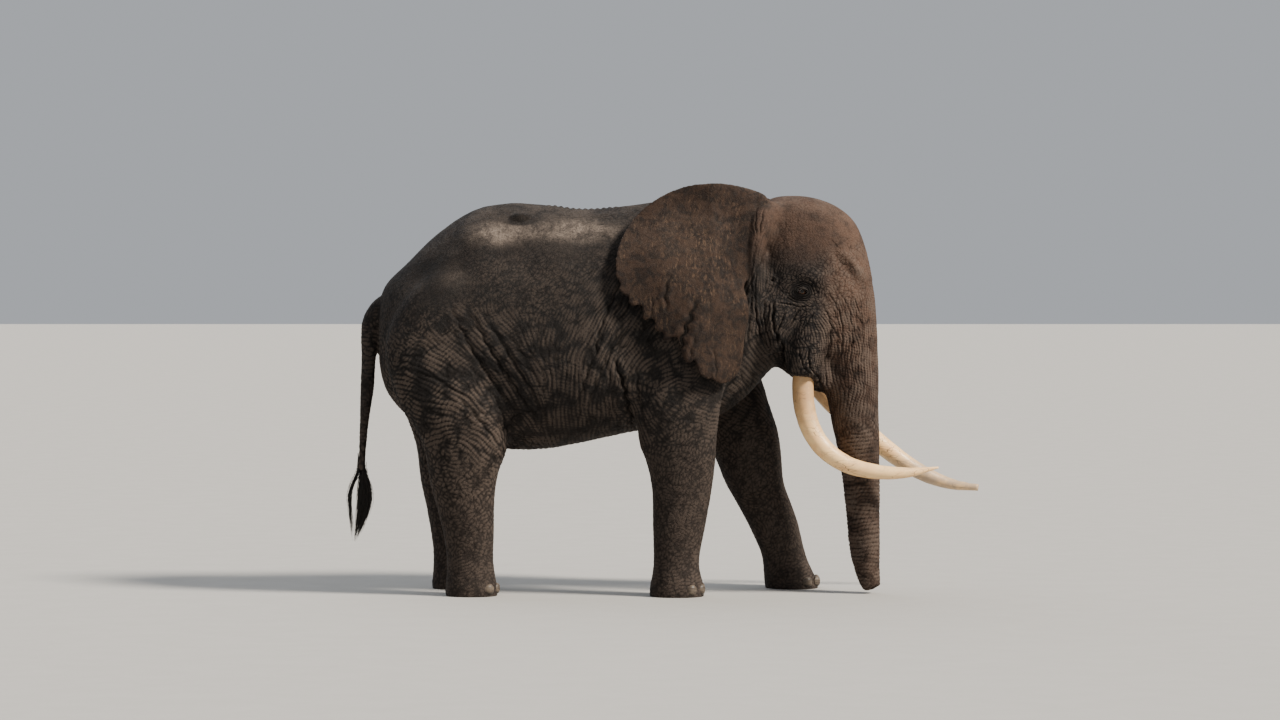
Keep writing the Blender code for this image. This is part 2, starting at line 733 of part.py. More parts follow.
def ear(side, flank):
    """A sheet round its centre that drapes over neck and shoulder, thin at its torn edge."""
    forward, drop = (EAR_LEFT_AHEAD, EAR_LEFT_DROP) if side == LEFT else (0.0, 0.0)

    def ring(share, half):
        points = []
        for angle in EAR_SPOKES:
            reach = ear_reach(angle, torn=share == 1.0) * share
            x = EAR_CENTRE[0] + reach * math.cos(math.radians(angle))
            z = EAR_CENTRE[1] + reach * math.sin(math.radians(angle)) - drop
            thick = np.interp(x, EAR_THINS, (EAR_THICK_EDGE, EAR_THICK_ROOT))
            thick *= 1.0 if share < 1.0 else EAR_RIM
            rearward = min(1.0, max(0.0, (EAR_REARWARD[0] - x) / EAR_REARWARD[1]))
            ripple = EAR_RIPPLE * math.sin(EAR_WAVES[0] * x + EAR_WAVES[1] * z) * rearward
            hung = min(1.0, max(0.0, (z - EAR_FREE_BELOW) / EAR_SINKS_OVER))
            hung *= max(0.0, 1 - EAR_LETS_GO * rearward)
            stand = flank(x + forward, z) + EAR_STAND_OFF + (EAR_SUNK - EAR_STAND_OFF) * hung
            points.append((x + forward, side * (stand + ripple + half * thick / 2), z))
        return points

    outer = [ring(share, 1) for share in EAR_CIRCLES]
    inner = [ring(share, -1) for share in EAR_CIRCLES]
    return loft("ear", [*outer, *reversed(inner)])


def tusk(side, rows, worn):
    rows = resampled(rows, TUSK_RINGS)
    obj = tube("tusk", [(x, side * y, z, r, r) for x, y, z, r in rows], TUSK_SIDES)
    if worn:
        tip, way = Vector(rows[-1][:3]), Vector(rows[-1][:3] - rows[-2][:3]).normalized()
        place = Vector((tip.x, side * tip.y, tip.z)) + way * TIP_HOLLOW_AHEAD
        cut(obj, ellipsoid("hollow", place, TIP_HOLLOW, detail=1, turn=(0, TIP_HOLLOW_PITCH, 0)))
    return obj


def nail(x, y, long, wide, degrees):
    """One toenail: a plate with a bevelled front, half sunk in the front of the foot."""
    way = math.radians(degrees)
    reach = 1 / math.hypot(math.cos(way) / long, math.sin(way) / wide) - NAIL_SINK
    thick, across, high = NAIL_SIZE
    mesh = bpy.data.meshes.new("nail")
    body = bmesh.new()
    bmesh.ops.create_cone(
        body, cap_ends=True, segments=NAIL_SIDES, radius1=1.0, radius2=NAIL_FRONT, depth=2.0
    )
    body.to_mesh(mesh)
    body.free()
    upright = Matrix.Rotation(math.radians(90), 4, "Y") @ Matrix.Diagonal((high, across, thick, 1.0))
    mesh.transform(Matrix.Rotation(way, 4, "Z") @ Matrix.Translation((reach, 0.0, 0.0)) @ upright)
    mesh.transform(Matrix.Translation((x, y, high + NAIL_LIFT)))
    obj = bpy.data.objects.new("nail", mesh)
    bpy.context.collection.objects.link(obj)
    return obj


def eye_pieces(whole, side, word):
    """Eyeball and lids, and the socket that they need in the head."""
    tree = surface_of(whole)
    start = head_point(EYE[0], side * OUTSIDE, EYE[1])
    spot = tree.ray_cast(start, head_point(EYE[0], 0.0, EYE[1]) - start)[0]
    outward = Vector((EYE_LOOKS[0], side * EYE_LOOKS[1], EYE_LOOKS[2])).normalized()
    outward.rotate(Matrix.Rotation(-HEAD_TURN, 3, "Z"))
    shell = EYE_RADIUS + LID_THICKNESS
    centre = spot - outward * (shell - LID_PROUD)
    forward = outward.cross(Vector((0, 0, 1))).normalized() * side
    up = forward.cross(outward) * side

    def lid_ring(radius, polar=None):
        """Points round the eye at an angle from its outward way, or along the lids' opening."""
        ring = []
        for k in range(LID_SIDES):
            around = 2 * math.pi * k / LID_SIDES
            lid = LID_UPPER if math.sin(around) > 0 else LID_LOWER
            angle = polar or 1 / math.hypot(math.cos(around) / LID_CORNER, math.sin(around) / lid)
            flat = forward * math.cos(around) + up * math.sin(around)
            ring.append(centre + (outward * math.cos(angle) + flat * math.sin(angle)) * radius)
        return ring

    inside = EYE_RADIUS * LID_ROOM + GAP
    rings = [lid_ring(shell, stop) for stop in LID_OUTER_STOPS] + [lid_ring(shell), lid_ring(inside)]
    rings += [lid_ring(inside, stop) for stop in LID_INNER_STOPS]
    lids = loft(f"eyelids_{word}", rings, endless=True)
    ball = ellipsoid(f"eye_{word}", centre, (EYE_RADIUS,) * 3, detail=2)
    cut(whole, ellipsoid("socket", centre, ((shell + GAP) * SOCKET_ROOM,) * 3, detail=2))
    return [ball, lids]


def tail_pieces(whole):
    rows = resampled(TAIL, TAIL_RINGS)
    upper = tube("tail_upper", [(x, 0.0, z, r, r) for x, z, r in rows], TAIL_SIDES)
    cut(upper, grown(whole, "rump_grown", 2 * GAP))
    lower = take(upper, "tail_lower", box(*TAIL_CUT))
    rings = []
    for z, x, wide, thick in resampled(BRUSH, BRUSH_RINGS):
        rings.append(oval((x, 0.0, z - BRUSH_DROP), wide, thick, BRUSH_SIDES))
    return [upper, lower, loft("tail_brush", rings)]


def box(low, high):
    """A cutter: a box between two corners."""
    low, high = Vector(low), Vector(high)
    mesh = bpy.data.meshes.new("cutter")
    body = bmesh.new()
    bmesh.ops.create_cube(body, size=1.0)
    body.to_mesh(mesh)
    body.free()
    mesh.transform(Matrix.Translation((low + high) / 2) @ Matrix.Diagonal((*(high - low), 1.0)))
    obj = bpy.data.objects.new("cutter", mesh)
    bpy.context.collection.objects.link(obj)
    return obj


def head_box(low, high, place, pitch):
    """A cutter that moves with the head: a box round an origin, which is pitched and placed."""
    obj = box(low, high)
    obj.data.transform(Matrix.Translation(place) @ Matrix.Rotation(math.radians(pitch), 4, "Y"))
    turn_head(obj)
    return obj


def take(whole, name, cutter):
    """Parts what lies in the cutter off the whole, as a piece of its own."""
    triangulated(cutter)
    larger = grown(cutter, "larger", 2 * GAP)
    piece = bpy.data.objects.new(name, whole.data.copy())
    bpy.context.collection.objects.link(piece)
    inside = piece.modifiers.new("inside", "BOOLEAN")
    inside.operation = "INTERSECT"
    inside.object = cutter
    applied(piece)
    cut(whole, larger)
    bpy.data.objects.remove(cutter)
    return piece


def limb_middle(rows, stride, side, z):
    """x and y of a leg's middle line at a height."""
    rows = np.array(rows)
    heights, shifts = np.array(stride).T
    ahead = np.interp(z, heights, shifts) if side == LEFT else 0.0
    return np.interp(z, rows[:, 0], rows[:, 1]) + ahead, side * np.interp(z, rows[:, 0], rows[:, 3])


def part_limbs(whole):
    """Feet, lower and upper limbs, each in turn off the whole."""
    pieces = []
    for limb, foot, rows, stride, ankle, knee, outline in (
        ("foreleg", "forefoot", FORELEG, FORE_STRIDE, FORE_ANKLE, FORE_KNEE, FORE_CUT),
        ("hindleg", "hindfoot", HIND_LEG, HIND_STRIDE, HIND_ANKLE, HIND_KNEE, HIND_CUT),
    ):
        for side, word in ((RIGHT, "right"), (LEFT, "left")):
            for name, (long, wide), low, high in (
                (f"{foot}_{word}", FOOT_CUT, UNDER_FLOOR, ankle),
                (f"{limb}_{word}_lower", LOWER_LIMB_CUT, ankle - KNEE_OVERLAP, knee),
            ):
                x, y = limb_middle(rows, stride, side, (max(low, 0.0) + high) / 2)
                cutter = box((x - long, y - wide, low), (x + long, y + wide, high))
                pieces.append(take(whole, name, cutter))
            rings = []
            for z, long, wide in outline:
                x, y = limb_middle(rows, stride, side, z)
                rings.append(oval((x, y, z), long, wide, LIMB_CUT_SIDES))
            pieces.append(take(whole, f"{limb}_{word}_upper", loft("cutter", rings)))
    return pieces


def part_mouth_and_trunk(whole):
    """Lower jaw and the four lengths of the trunk."""
    pieces = [take(whole, "lower_jaw", head_box(*JAW_CUT))]
    for name, low, high in TRUNK_LENGTHS:
        cutter = box((*TRUNK_CUT[0], low), (*TRUNK_CUT[1], high))
        turn_head(cutter)
        pieces.append(take(whole, name, cutter))
    pieces.append(take(whole, "trunk_upper", head_box(*FACE_CUT)))
    return pieces


def open_nostrils(tip):
    radius, apart, depth = NOSTRIL
    x, z = TRUNK[-1][:2]
    for side in (RIGHT, LEFT):
        hole = ellipsoid("hole", (x, side * apart, z), (radius, radius * NOSTRIL_WIDER, depth), detail=1)
        turn_head(hole)
        cut(tip, hole)


def part_torso(whole):
    """Hindquarters, barrel, chest and neck; what is left is the head."""
    pieces = []
    for name, rear, front in SECTIONS:
        cutter = box((rear, *SECTION_CUT[0]), (front, *SECTION_CUT[1]))
        pieces.append(take(whole, name, cutter))
    whole.name = "head"
    return [*pieces, whole]


def nails_for(feet):
    """Nails on all four feet, and their beds cut into the feet."""
    nails = []
    for foot in feet:
        fore = foot.name.startswith("fore")
        rows = FORELEG if fore else HIND_LEG
        _, x, long, y, wide = rows[1]
        stride = (FORE_STRIDE if fore else HIND_STRIDE)[0][1]
        left = foot.name.endswith("left")
        for number, degrees in enumerate(FORE_NAILS if fore else HIND_NAILS, start=1):
            piece = nail(x + (stride if left else 0.0), y if left else -y, long, wide, degrees)
            piece.name = f"nail_{foot.name}_{number}"
            cut(foot, grown(piece, "bed", 2 * GAP))
            nails.append(piece)
    return nails


# ---- materials ------------------------------------------------------------------------------------------

# colour, roughness and metallic value
FINISHES = {
    "hide": ((0.085, 0.066, 0.056), 0.85, 0.0),
    "ivory": ((0.62, 0.50, 0.36), 0.38, 0.0),
    "eye": ((0.030, 0.018, 0.010), 0.08, 0.0),
    "nail": ((0.22, 0.17, 0.13), 0.60, 0.0),
    "hair": ((0.020, 0.016, 0.014), 0.70, 0.0),
}


def finish_of(name):
    for start, finish in (("tusk", "ivory"), ("eye_", "eye"), ("nail", "nail"), ("tail_brush", "hair")):
        if name.startswith(start):
            return finish
    return "hide"


def paint(obj):
    """Its own Principled material on each piece."""
    colour, roughness, metallic = FINISHES[finish_of(obj.name)]
    material = bpy.data.materials.new(f"{obj.name}_{finish_of(obj.name)}")
    material.use_nodes = True
    shader = material.node_tree.nodes["Principled BSDF"]
    shader.inputs["Base Color"].default_value = (*colour, 1.0)
    shader.inputs["Roughness"].default_value = roughness
    shader.inputs["Metallic"].default_value = metallic
    obj.data.materials.clear()
    obj.data.materials.append(material)


# ---- the whole animal -------------------------------------------------------------------------------------


def build():
    for old in list(bpy.data.objects):
        bpy.data.objects.remove(old)
    whole = flesh()
    pieces = []
    for side, word in ((RIGHT, "right"), (LEFT, "left")):
        sheet = ear(side, flank_of(whole, side))
        sheet.name = f"ear_{word}"
        reduced(sheet, EAR_TRIANGLES)
        cut(sheet, grown(whole, "flesh_grown", 2 * GAP))
        largest_body(sheet)
        pieces.append(sheet)
    pieces += tail_pieces(whole)
    for side, word, rows in ((RIGHT, "right", TUSK_RIGHT), (LEFT, "left", TUSK_LEFT)):
        pieces += eye_pieces(whole, side, word)
        ivory = tusk(side, rows, worn=side == LEFT)
        ivory.name = f"tusk_{word}"
        turn_head(ivory)
        cut(whole, grown(ivory, "alveolus", 2 * GAP))
        pieces.append(ivory)
    limbs = part_limbs(whole)
    pieces += limbs
    pieces += nails_for([limb for limb in limbs if "foot" in limb.name])
    pieces += part_mouth_and_trunk(whole)
    open_nostrils(bpy.data.objects["trunk_tip"])
    pieces += part_torso(whole)
    for piece in pieces:
        piece.data.transform(Matrix.Translation((-MIDDLE[0], -MIDDLE[1], 0.0)))
        paint(piece)


build()
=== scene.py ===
"""Looks of a life-size African savanna elephant bull: one wrinkled skin, eyes, tusks, nails and tail hair.

Metres, +Z up, the animal faces +X. The tables repeat those of the CAD model, in the frame that they are
drawn in, which lies MIDDLE away from the row's frame.
"""

import math

import bmesh
import bpy
import numpy as np
from mathutils import Matrix, Vector
from mathutils.bvhtree import BVHTree


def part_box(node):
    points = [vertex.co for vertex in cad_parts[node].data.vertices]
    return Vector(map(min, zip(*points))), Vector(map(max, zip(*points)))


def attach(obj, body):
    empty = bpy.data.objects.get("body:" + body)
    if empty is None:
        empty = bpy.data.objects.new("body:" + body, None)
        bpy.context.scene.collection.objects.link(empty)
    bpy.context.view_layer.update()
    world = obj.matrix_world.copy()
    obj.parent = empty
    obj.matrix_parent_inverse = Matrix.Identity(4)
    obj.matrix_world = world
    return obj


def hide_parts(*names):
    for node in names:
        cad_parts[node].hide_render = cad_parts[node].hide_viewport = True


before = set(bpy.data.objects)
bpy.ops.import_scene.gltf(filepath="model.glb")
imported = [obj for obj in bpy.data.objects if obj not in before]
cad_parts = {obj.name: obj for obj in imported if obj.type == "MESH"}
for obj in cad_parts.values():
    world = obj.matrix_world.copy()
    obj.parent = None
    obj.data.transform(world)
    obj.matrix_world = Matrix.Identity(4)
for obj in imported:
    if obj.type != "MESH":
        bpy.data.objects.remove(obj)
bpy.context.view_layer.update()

# ---- the body's shape, as in the CAD model

RIGHT, LEFT = -1, 1
HEAD_TURN = math.radians(9.0)
HEAD_PIVOT = np.array((0.92, 0.0, 0.0))
MIDDLE = np.array((0.2297, 0.0015, 0.0))
COARSE_VOXEL, COARSE_ROUNDS = 0.03, 9
FINE_VOXEL, FINE_ROUNDS = 0.0098, 5

# x, top, bottom, half width, height of the widest line
TORSO = (
    (-2.15, 2.4, 1.88, 0.11, 2.14),
    (-2.09, 2.55, 1.66, 0.28, 2.12),
    (-1.92, 2.715, 1.46, 0.46, 2.1),
    (-1.68, 2.95, 1.34, 0.56, 2.1),
    (-1.38, 3.15, 1.24, 0.62, 2.1),
    (-1.1, 3.21, 1.18, 0.65, 2.06),
    (-0.8, 3.2, 1.18, 0.69, 2.02),
    (-0.45, 3.16, 1.24, 0.72, 2.02),
    (-0.03, 3.2, 1.33, 0.7, 2.06),
    (0.35, 3.255, 1.39, 0.64, 2.12),
    (0.65, 3.225, 1.46, 0.57, 2.2),
    (0.88, 3.165, 1.62, 0.47, 2.32),
    (1.08, 3.1, 1.84, 0.4, 2.45),
    (1.28, 3.02, 2.02, 0.33, 2.52),
)
# powers of the superellipses that the sections are
TORSO_POWER_UP, TORSO_POWER_DOWN, SKULL_POWER, LEG_POWER = 1.85, 2.15, 2.2, 2.15

# z, back x, front x, half width, how much narrower the front is
SKULL = (
    (3.268, 1.18, 1.33, 0.07, 0.1),
    (3.248, 1.08, 1.45, 0.19, 0.1),
    (3.18, 1.0, 1.625, 0.3, 0.15),
    (3.05, 0.94, 1.775, 0.375, 0.22),
    (2.85, 0.92, 1.86, 0.425, 0.3),
    (2.65, 0.93, 1.908, 0.45, 0.36),
    (2.45, 0.95, 1.94, 0.46, 0.4),
    (2.25, 1.0, 1.952, 0.44, 0.4),
    (2.08, 1.09, 1.95, 0.38, 0.36),
    (1.96, 1.2, 1.93, 0.29, 0.3),
)

# x, z, half depth, half width
TRUNK = (
    (1.6, 2.6, 0.3, 0.27),
    (1.66, 2.38, 0.285, 0.272),
    (1.705, 2.15, 0.255, 0.262),
    (1.735, 1.9, 0.235, 0.24),
    (1.757, 1.65, 0.215, 0.22),
    (1.775, 1.45, 0.198, 0.203),
    (1.808, 1.2, 0.178, 0.184),
    (1.828, 0.95, 0.158, 0.166),
    (1.842, 0.7, 0.144, 0.152),
    (1.858, 0.39, 0.13, 0.138),
    (1.88, 0.2, 0.108, 0.122),
    (1.905, 0.09, 0.088, 0.112),
    (1.925, 0.035, 0.078, 0.104),
)

# x, z, half depth, half width of the lower jaw, from the throat to the lip
JAW = (
    (0.98, 2.26, 0.24, 0.27),
    (1.12, 2.1, 0.175, 0.235),
    (1.26, 1.92, 0.125, 0.165),
    (1.38, 1.79, 0.085, 0.115),
    (1.46, 1.705, 0.055, 0.08),
    (1.505, 1.655, 0.026, 0.045),
)

# x, y, z, radius of the sheath that each tusk grows from
SHEATH = (
    (1.56, 0.18, 2.5, 0.13),
    (1.47, 0.235, 2.28, 0.168),
    (1.415, 0.262, 2.08, 0.17),
    (1.38, 0.28, 1.92, 0.152),
    (1.365, 0.29, 1.79, 0.128),
)

# x, y, z, radius along each tusk, from inside the sheath to the tip
TUSK_RIGHT = (
    (1.348, 0.29, 1.9, 0.084),
    (1.332, 0.3, 1.755, 0.089),
    (1.338, 0.325, 1.565, 0.086),
    (1.392, 0.35, 1.365, 0.082),
    (1.505, 0.375, 1.195, 0.077),
    (1.69, 0.395, 1.07, 0.07),
    (1.93, 0.4, 1.012, 0.059),
    (2.18, 0.385, 1.005, 0.042),
    (2.435, 0.345, 1.045, 0.007),
)
TUSK_LEFT = (
    (1.39, 0.29, 1.9, 0.08),
    (1.44, 0.3, 1.755, 0.084),
    (1.555, 0.33, 1.605, 0.084),
    (1.715, 0.37, 1.45, 0.083),
    (1.885, 0.405, 1.305, 0.081),
    (2.055, 0.43, 1.165, 0.077),
    (2.225, 0.44, 1.04, 0.071),
    (2.4, 0.435, 0.94, 0.062),
    (2.6, 0.42, 0.868, 0.046),
    (2.83, 0.39, 0.838, 0.027),
)
WORN_TIP_HOLLOW = 0.05

# z, x, half length, y, half width
FORELEG = (
    (-0.06, 0.3, 0.222, 0.4, 0.212),
    (0.05, 0.3, 0.226, 0.4, 0.216),
    (0.16, 0.298, 0.204, 0.4, 0.194),
    (0.29, 0.296, 0.186, 0.4, 0.176),
    (0.57, 0.318, 0.217, 0.405, 0.184),
    (0.88, 0.342, 0.247, 0.415, 0.2),
    (1.13, 0.33, 0.288, 0.43, 0.222),
    (1.31, 0.312, 0.316, 0.44, 0.236),
    (1.6, 0.3, 0.365, 0.465, 0.24),
    (2.0, 0.34, 0.4, 0.475, 0.205),
    (2.4, 0.4, 0.35, 0.455, 0.165),
    (2.75, 0.47, 0.22, 0.4, 0.09),
)
HIND_LEG = (
    (-0.06, -1.375, 0.212, 0.36, 0.19),
    (0.05, -1.375, 0.216, 0.36, 0.194),
    (0.16, -1.38, 0.202, 0.36, 0.174),
    (0.3, -1.388, 0.192, 0.362, 0.16),
    (0.48, -1.395, 0.206, 0.366, 0.166),
    (0.72, -1.422, 0.236, 0.372, 0.186),
    (0.89, -1.44, 0.266, 0.378, 0.202),
    (1.03, -1.438, 0.292, 0.384, 0.216),
    (1.15, -1.428, 0.322, 0.388, 0.228),
    (1.29, -1.445, 0.35, 0.394, 0.24),
    (1.47, -1.485, 0.405, 0.4, 0.256),
    (1.7, -1.53, 0.48, 0.396, 0.255),
    (2.05, -1.56, 0.52, 0.378, 0.245),
    (2.45, -1.48, 0.43, 0.35, 0.195),
    (2.8, -1.36, 0.24, 0.32, 0.11),
)
# z, how far forward of the right one the left leg is at that height
FORE_STRIDE = (
    (0.0, 0.975), (0.29, 0.905), (0.57, 0.785), (0.88, 0.61), (1.31, 0.535), (1.7, 0.355), (2.2, 0.06),
)
HIND_STRIDE = ((0.0, -0.15), (0.5, -0.15), (1.3, -0.105), (2.0, 0.0))

# x, z, radius along the tail, from inside the rump
TAIL = (
    (-1.98, 2.4, 0.095),
    (-2.11, 2.345, 0.1),
    (-2.195, 2.235, 0.092),
    (-2.222, 2.11, 0.08),
    (-2.238, 1.93, 0.06),
    (-2.25, 1.7, 0.056),
    (-2.262, 1.56, 0.048),
    (-2.277, 1.38, 0.036),
    (-2.294, 1.12, 0.028),
    (-2.3, 1.0, 0.026),
)
# z, x, half width seen from the side, half thickness of the tail's brush
BRUSH = (
    (1.0, -2.3, 0.026, 0.024),
    (0.93, -2.303, 0.07, 0.034),
    (0.82, -2.312, 0.1, 0.04),
    (0.7, -2.318, 0.095, 0.038),
    (0.56, -2.338, 0.055, 0.026),
    (0.4, -2.365, 0.012, 0.01),
)

# x, y, z, radius of the gristle roll that each ear hangs from
EAR_ROOT = (
    (1.13, 0.23, 3.17, 0.085),
    (1.06, 0.345, 3.08, 0.11),
    (1.01, 0.415, 2.9, 0.095),
    (0.985, 0.45, 2.7, 0.07),
    (0.985, 0.44, 2.48, 0.045),
)
# x, z of the ear's edge, from its upper front corner back along the rim, down and forward again
EAR_CENTRE = (0.48, 2.62)
EAR_EDGE = (
    (1.08, 3.24),
    (0.83, 3.335),
    (0.55, 3.36),
    (0.18, 3.26),
    (-0.08, 3.04),
    (-0.19, 2.8),
    (-0.185, 2.54),
    (-0.03, 2.33),
    (0.16, 2.15),
    (0.35, 1.96),
    (0.53, 1.78),
    (0.68, 1.725),
    (0.78, 1.775),
    (0.825, 1.92),
    (0.835, 2.12),
    (0.83, 2.52),
    (0.9, 2.9),
)
# tears in the rear edge: angle from the centre, depth, and width before and after, with angles in degrees
EAR_TEARS = (
    (187.0, 0.02, 6.0, 2.0),
    (198.0, 0.03, 4.0, 3.0),
    (207.5, 0.07, 1.8, 9.0),
    (223.5, 0.062, 4.0, 6.5),
    (238.0, 0.026, 3.5, 2.0),
    (249.5, 0.105, 6.0, 8.0),
    (266.5, 0.075, 2.6, 3.0),
    (276.5, 0.018, 1.5, 3.0),
)
EAR_THICK_ROOT, EAR_THICK_EDGE = 0.05, 0.022
EAR_STAND_OFF, EAR_SUNK = 0.092, -0.05  # how far out of the flesh the sheet is, free and at the root
EAR_FREE_BELOW = 2.35  # the lobe hangs free under this height
EAR_RIPPLE = 0.012
EAR_SHIFT = {RIGHT: (0.0, 0.0), LEFT: (0.13, 0.05)}  # forward of the right ear's place, and down
EAR_RINGS, EAR_SPOKES = 40, 480
# the grid of x and z on which the flesh's reach is measured, its least reach and how often it is smoothed
DRAPE_ENDS, DRAPE_STEP = ((-0.7, 1.5), (1.3, 3.7)), 0.06
DRAPE_LEAST, DRAPE_SMOOTHING = 0.3, 10

NAIL_SIZE = (0.026, 0.05, 0.044)  # half thickness, half width, half height
FORE_NAILS = (-54, -19, 19, 54)  # degrees from straight ahead
HIND_NAILS = (-38, 0, 38)
NAIL_LIFT = 0.016  # air under a nail

# ellipsoids that swell over the lofts on both sides: name, centre, radii, and tilt in degrees
BODY_MASSES = (
    ("shoulder", (0.3, 0.46, 2.12), (0.4, 0.235, 0.66), -8),
    ("thigh", (-1.5, 0.395, 1.98), (0.55, 0.235, 0.74), 6),
)
HEAD_MASSES = (
    ("cheek", (1.17, 0.31, 2.24), (0.17, 0.125, 0.27), 12),
    ("brow", (1.44, 0.318, 2.61), (0.2, 0.08, 0.09), 25),
    ("lip", (1.49, 0.19, 1.84), (0.095, 0.09, 0.19), -22),
)
# centre x, y, z, reach and push along the surface's normal, on both sides: hollows are negative
FORMS = (
    (1.36, 0.3, 2.86, 0.17, -0.022),  # hollow of the temple
    (-1.34, 0.36, 2.93, 0.2, 0.03),  # hip bone
    (-0.92, 0.5, 2.72, 0.26, -0.028),  # hollow before the hip
    (-1.8, 0.4, 2.6, 0.22, -0.018),  # hollow behind the hip
    (-1.1, 0.53, 1.75, 0.22, -0.03),  # flank fold before the thigh
    (-1.12, 0.4, 1.2, 0.12, 0.016),  # knee cap
    (0.02, 0.48, 1.24, 0.12, 0.022),  # elbow
    (0.66, 0.58, 2.05, 0.2, -0.02),  # before the shoulder
    (-0.16, 0.65, 2.0, 0.2, -0.022),  # behind the shoulder
)

# ---- the hide's relief, its mud and dust, and its painted light and shade

# lie of the folds on the side of the body: x, z, lean of the crease lines in degrees, then in millimetres
# the spacing of the fine wrinkles, the depth of the large folds and the depth of the fine wrinkles
BODY_FOLDS = (
    (-1.98, 2.72, 45, 23, 1, 1),
    (-1.98, 2.29, -40, 23, 2, 1.6),
    (-2.05, 1.97, -30, 36, 3, 3),
    (-1.95, 1.55, -8, 40, 4, 5),
    (-1.64, 2.56, -60, 26, 1, 0.8),
    (-1.72, 1.84, -16, 42, 4.5, 5),
    (-1.44, 1.74, -32, 42, 6, 5),
    (-1.56, 1.4, 6, 38, 2, 5.2),
    (-1.27, 1.3, -36, 34, 4, 4.4),
    (-1.64, 1.05, 14, 32, 1.5, 3.6),
    (-1.3, 0.95, -20, 30, 1.5, 3.4),
    (-1.56, 0.55, 10, 26, 2, 2.2),
    (-1.39, 2.06, -38, 36, 6, 2.4),
    (-1.22, 1.72, -52, 38, 11, 3),
    (-1.05, 1.52, -58, 36, 12, 3),
    (-0.97, 1.3, -64, 34, 11, 3),
    (-1.14, 2.06, -46, 36, 6, 2.4),
    (-0.88, 1.8, -60, 36, 7, 2.4),
    (-0.8, 1.45, -72, 36, 9, 2.8),
    (-0.63, 1.72, -88, 36, 5, 2.4),
    (-0.66, 1.4, 90, 34, 6, 2.6),
    (-0.46, 2.06, 70, 36, 5, 2.2),
    (-0.38, 1.63, 82, 36, 6, 2.4),
    (-0.24, 1.89, 76, 38, 9, 2.6),
    (-0.21, 2.22, 62, 29, 9, 2.4),
    (-0.46, 2.39, 58, 27, 4, 1.8),
    (-0.04, 2.06, 56, 36, 7, 2.4),
    (0.13, 1.8, 34, 32, 4, 2.6),
    (0.04, 1.55, -56, 32, 5, 2.8),
    (0.3, 1.47, -28, 30, 3, 2.6),
    (-0.12, 1.47, -80, 32, 8, 2.6),
    (0.55, 1.75, -20, 32, 4, 2.4),
    (0.2, 1.05, -40, 25, 1.6, 2.2),
    (0.5, 1.05, 30, 25, 1.6, 2.2),
    (0.32, 0.55, -24, 25, 1.6, 2.2),
    (0.3, 0.2, 4, 26, 3, 2.2),
    (-1.38, 0.2, 4, 26, 3, 2.2),
    (-1.14, 2.98, 5, 24, 0.6, 0.9),
    (-0.63, 2.92, 10, 24, 0.8, 1.1),
    (-0.05, 2.85, 40, 26, 3, 1.4),
    (-1.14, 2.56, 82, 24, 0.8, 1.7),
    (-0.71, 2.48, 85, 24, 1, 1.8),
    (0.6, 2.4, 80, 30, 8, 2.2),
    (0.8, 1.75, -45, 34, 7, 2.4),
    (-2.28, 1.6, 0, 26, 1, 1.6),
)
# the same on the side of the straight-ahead head and trunk
HEAD_FOLDS = (
    (1.15, 3.2, 80, 22, 0.6, 0.9),
    (1.62, 3.0, -55, 21, 0.6, 1.1),
    (1.4, 2.85, 70, 22, 0.6, 1.1),
    (1.12, 2.95, 70, 26, 4, 1.4),
    (0.98, 2.62, 86, 28, 5, 1.8),
    (1.02, 2.3, 84, 30, 7, 2.2),
    (1.12, 2.02, -64, 28, 6, 2.4),
    (1.25, 2.35, 20, 22, 1, 2.2),
    (1.28, 2.15, 58, 24, 4, 2.6),
    (1.52, 2.38, -50, 22, 1.4, 2.4),
    (1.68, 2.58, -72, 24, 1.4, 3.4),
    (1.85, 2.6, 88, 24, 0.8, 2),
    (1.62, 2.22, -62, 26, 5, 5),
    (1.78, 2.25, -84, 26, 4.8, 5),
    (1.44, 1.98, -84, 24, 2.6, 3.6),
    (1.6, 1.85, -74, 26, 4.6, 5),
    (1.8, 1.95, 89, 26, 4.6, 5.8),
    (1.72, 1.65, 86, 27, 3, 5.8),
    (1.78, 1.48, 87, 28, 2.6, 5.6),
    (1.84, 1.24, 6, 34, 2, 5.6),
    (1.82, 1.0, 2, 36, 2.2, 6.2),
    (1.85, 0.65, 0, 34, 2.2, 6),
    (1.9, 0.2, -4, 30, 1.6, 4.8),
)
FOLD_BLUR = 0.1  # how far each row's say fades into its neighbours'
STRIDE_BELOW, STRIDE_FROM = (1.9, 1.3), (-0.7, -0.3)  # z and x where the left folds go with the foreleg
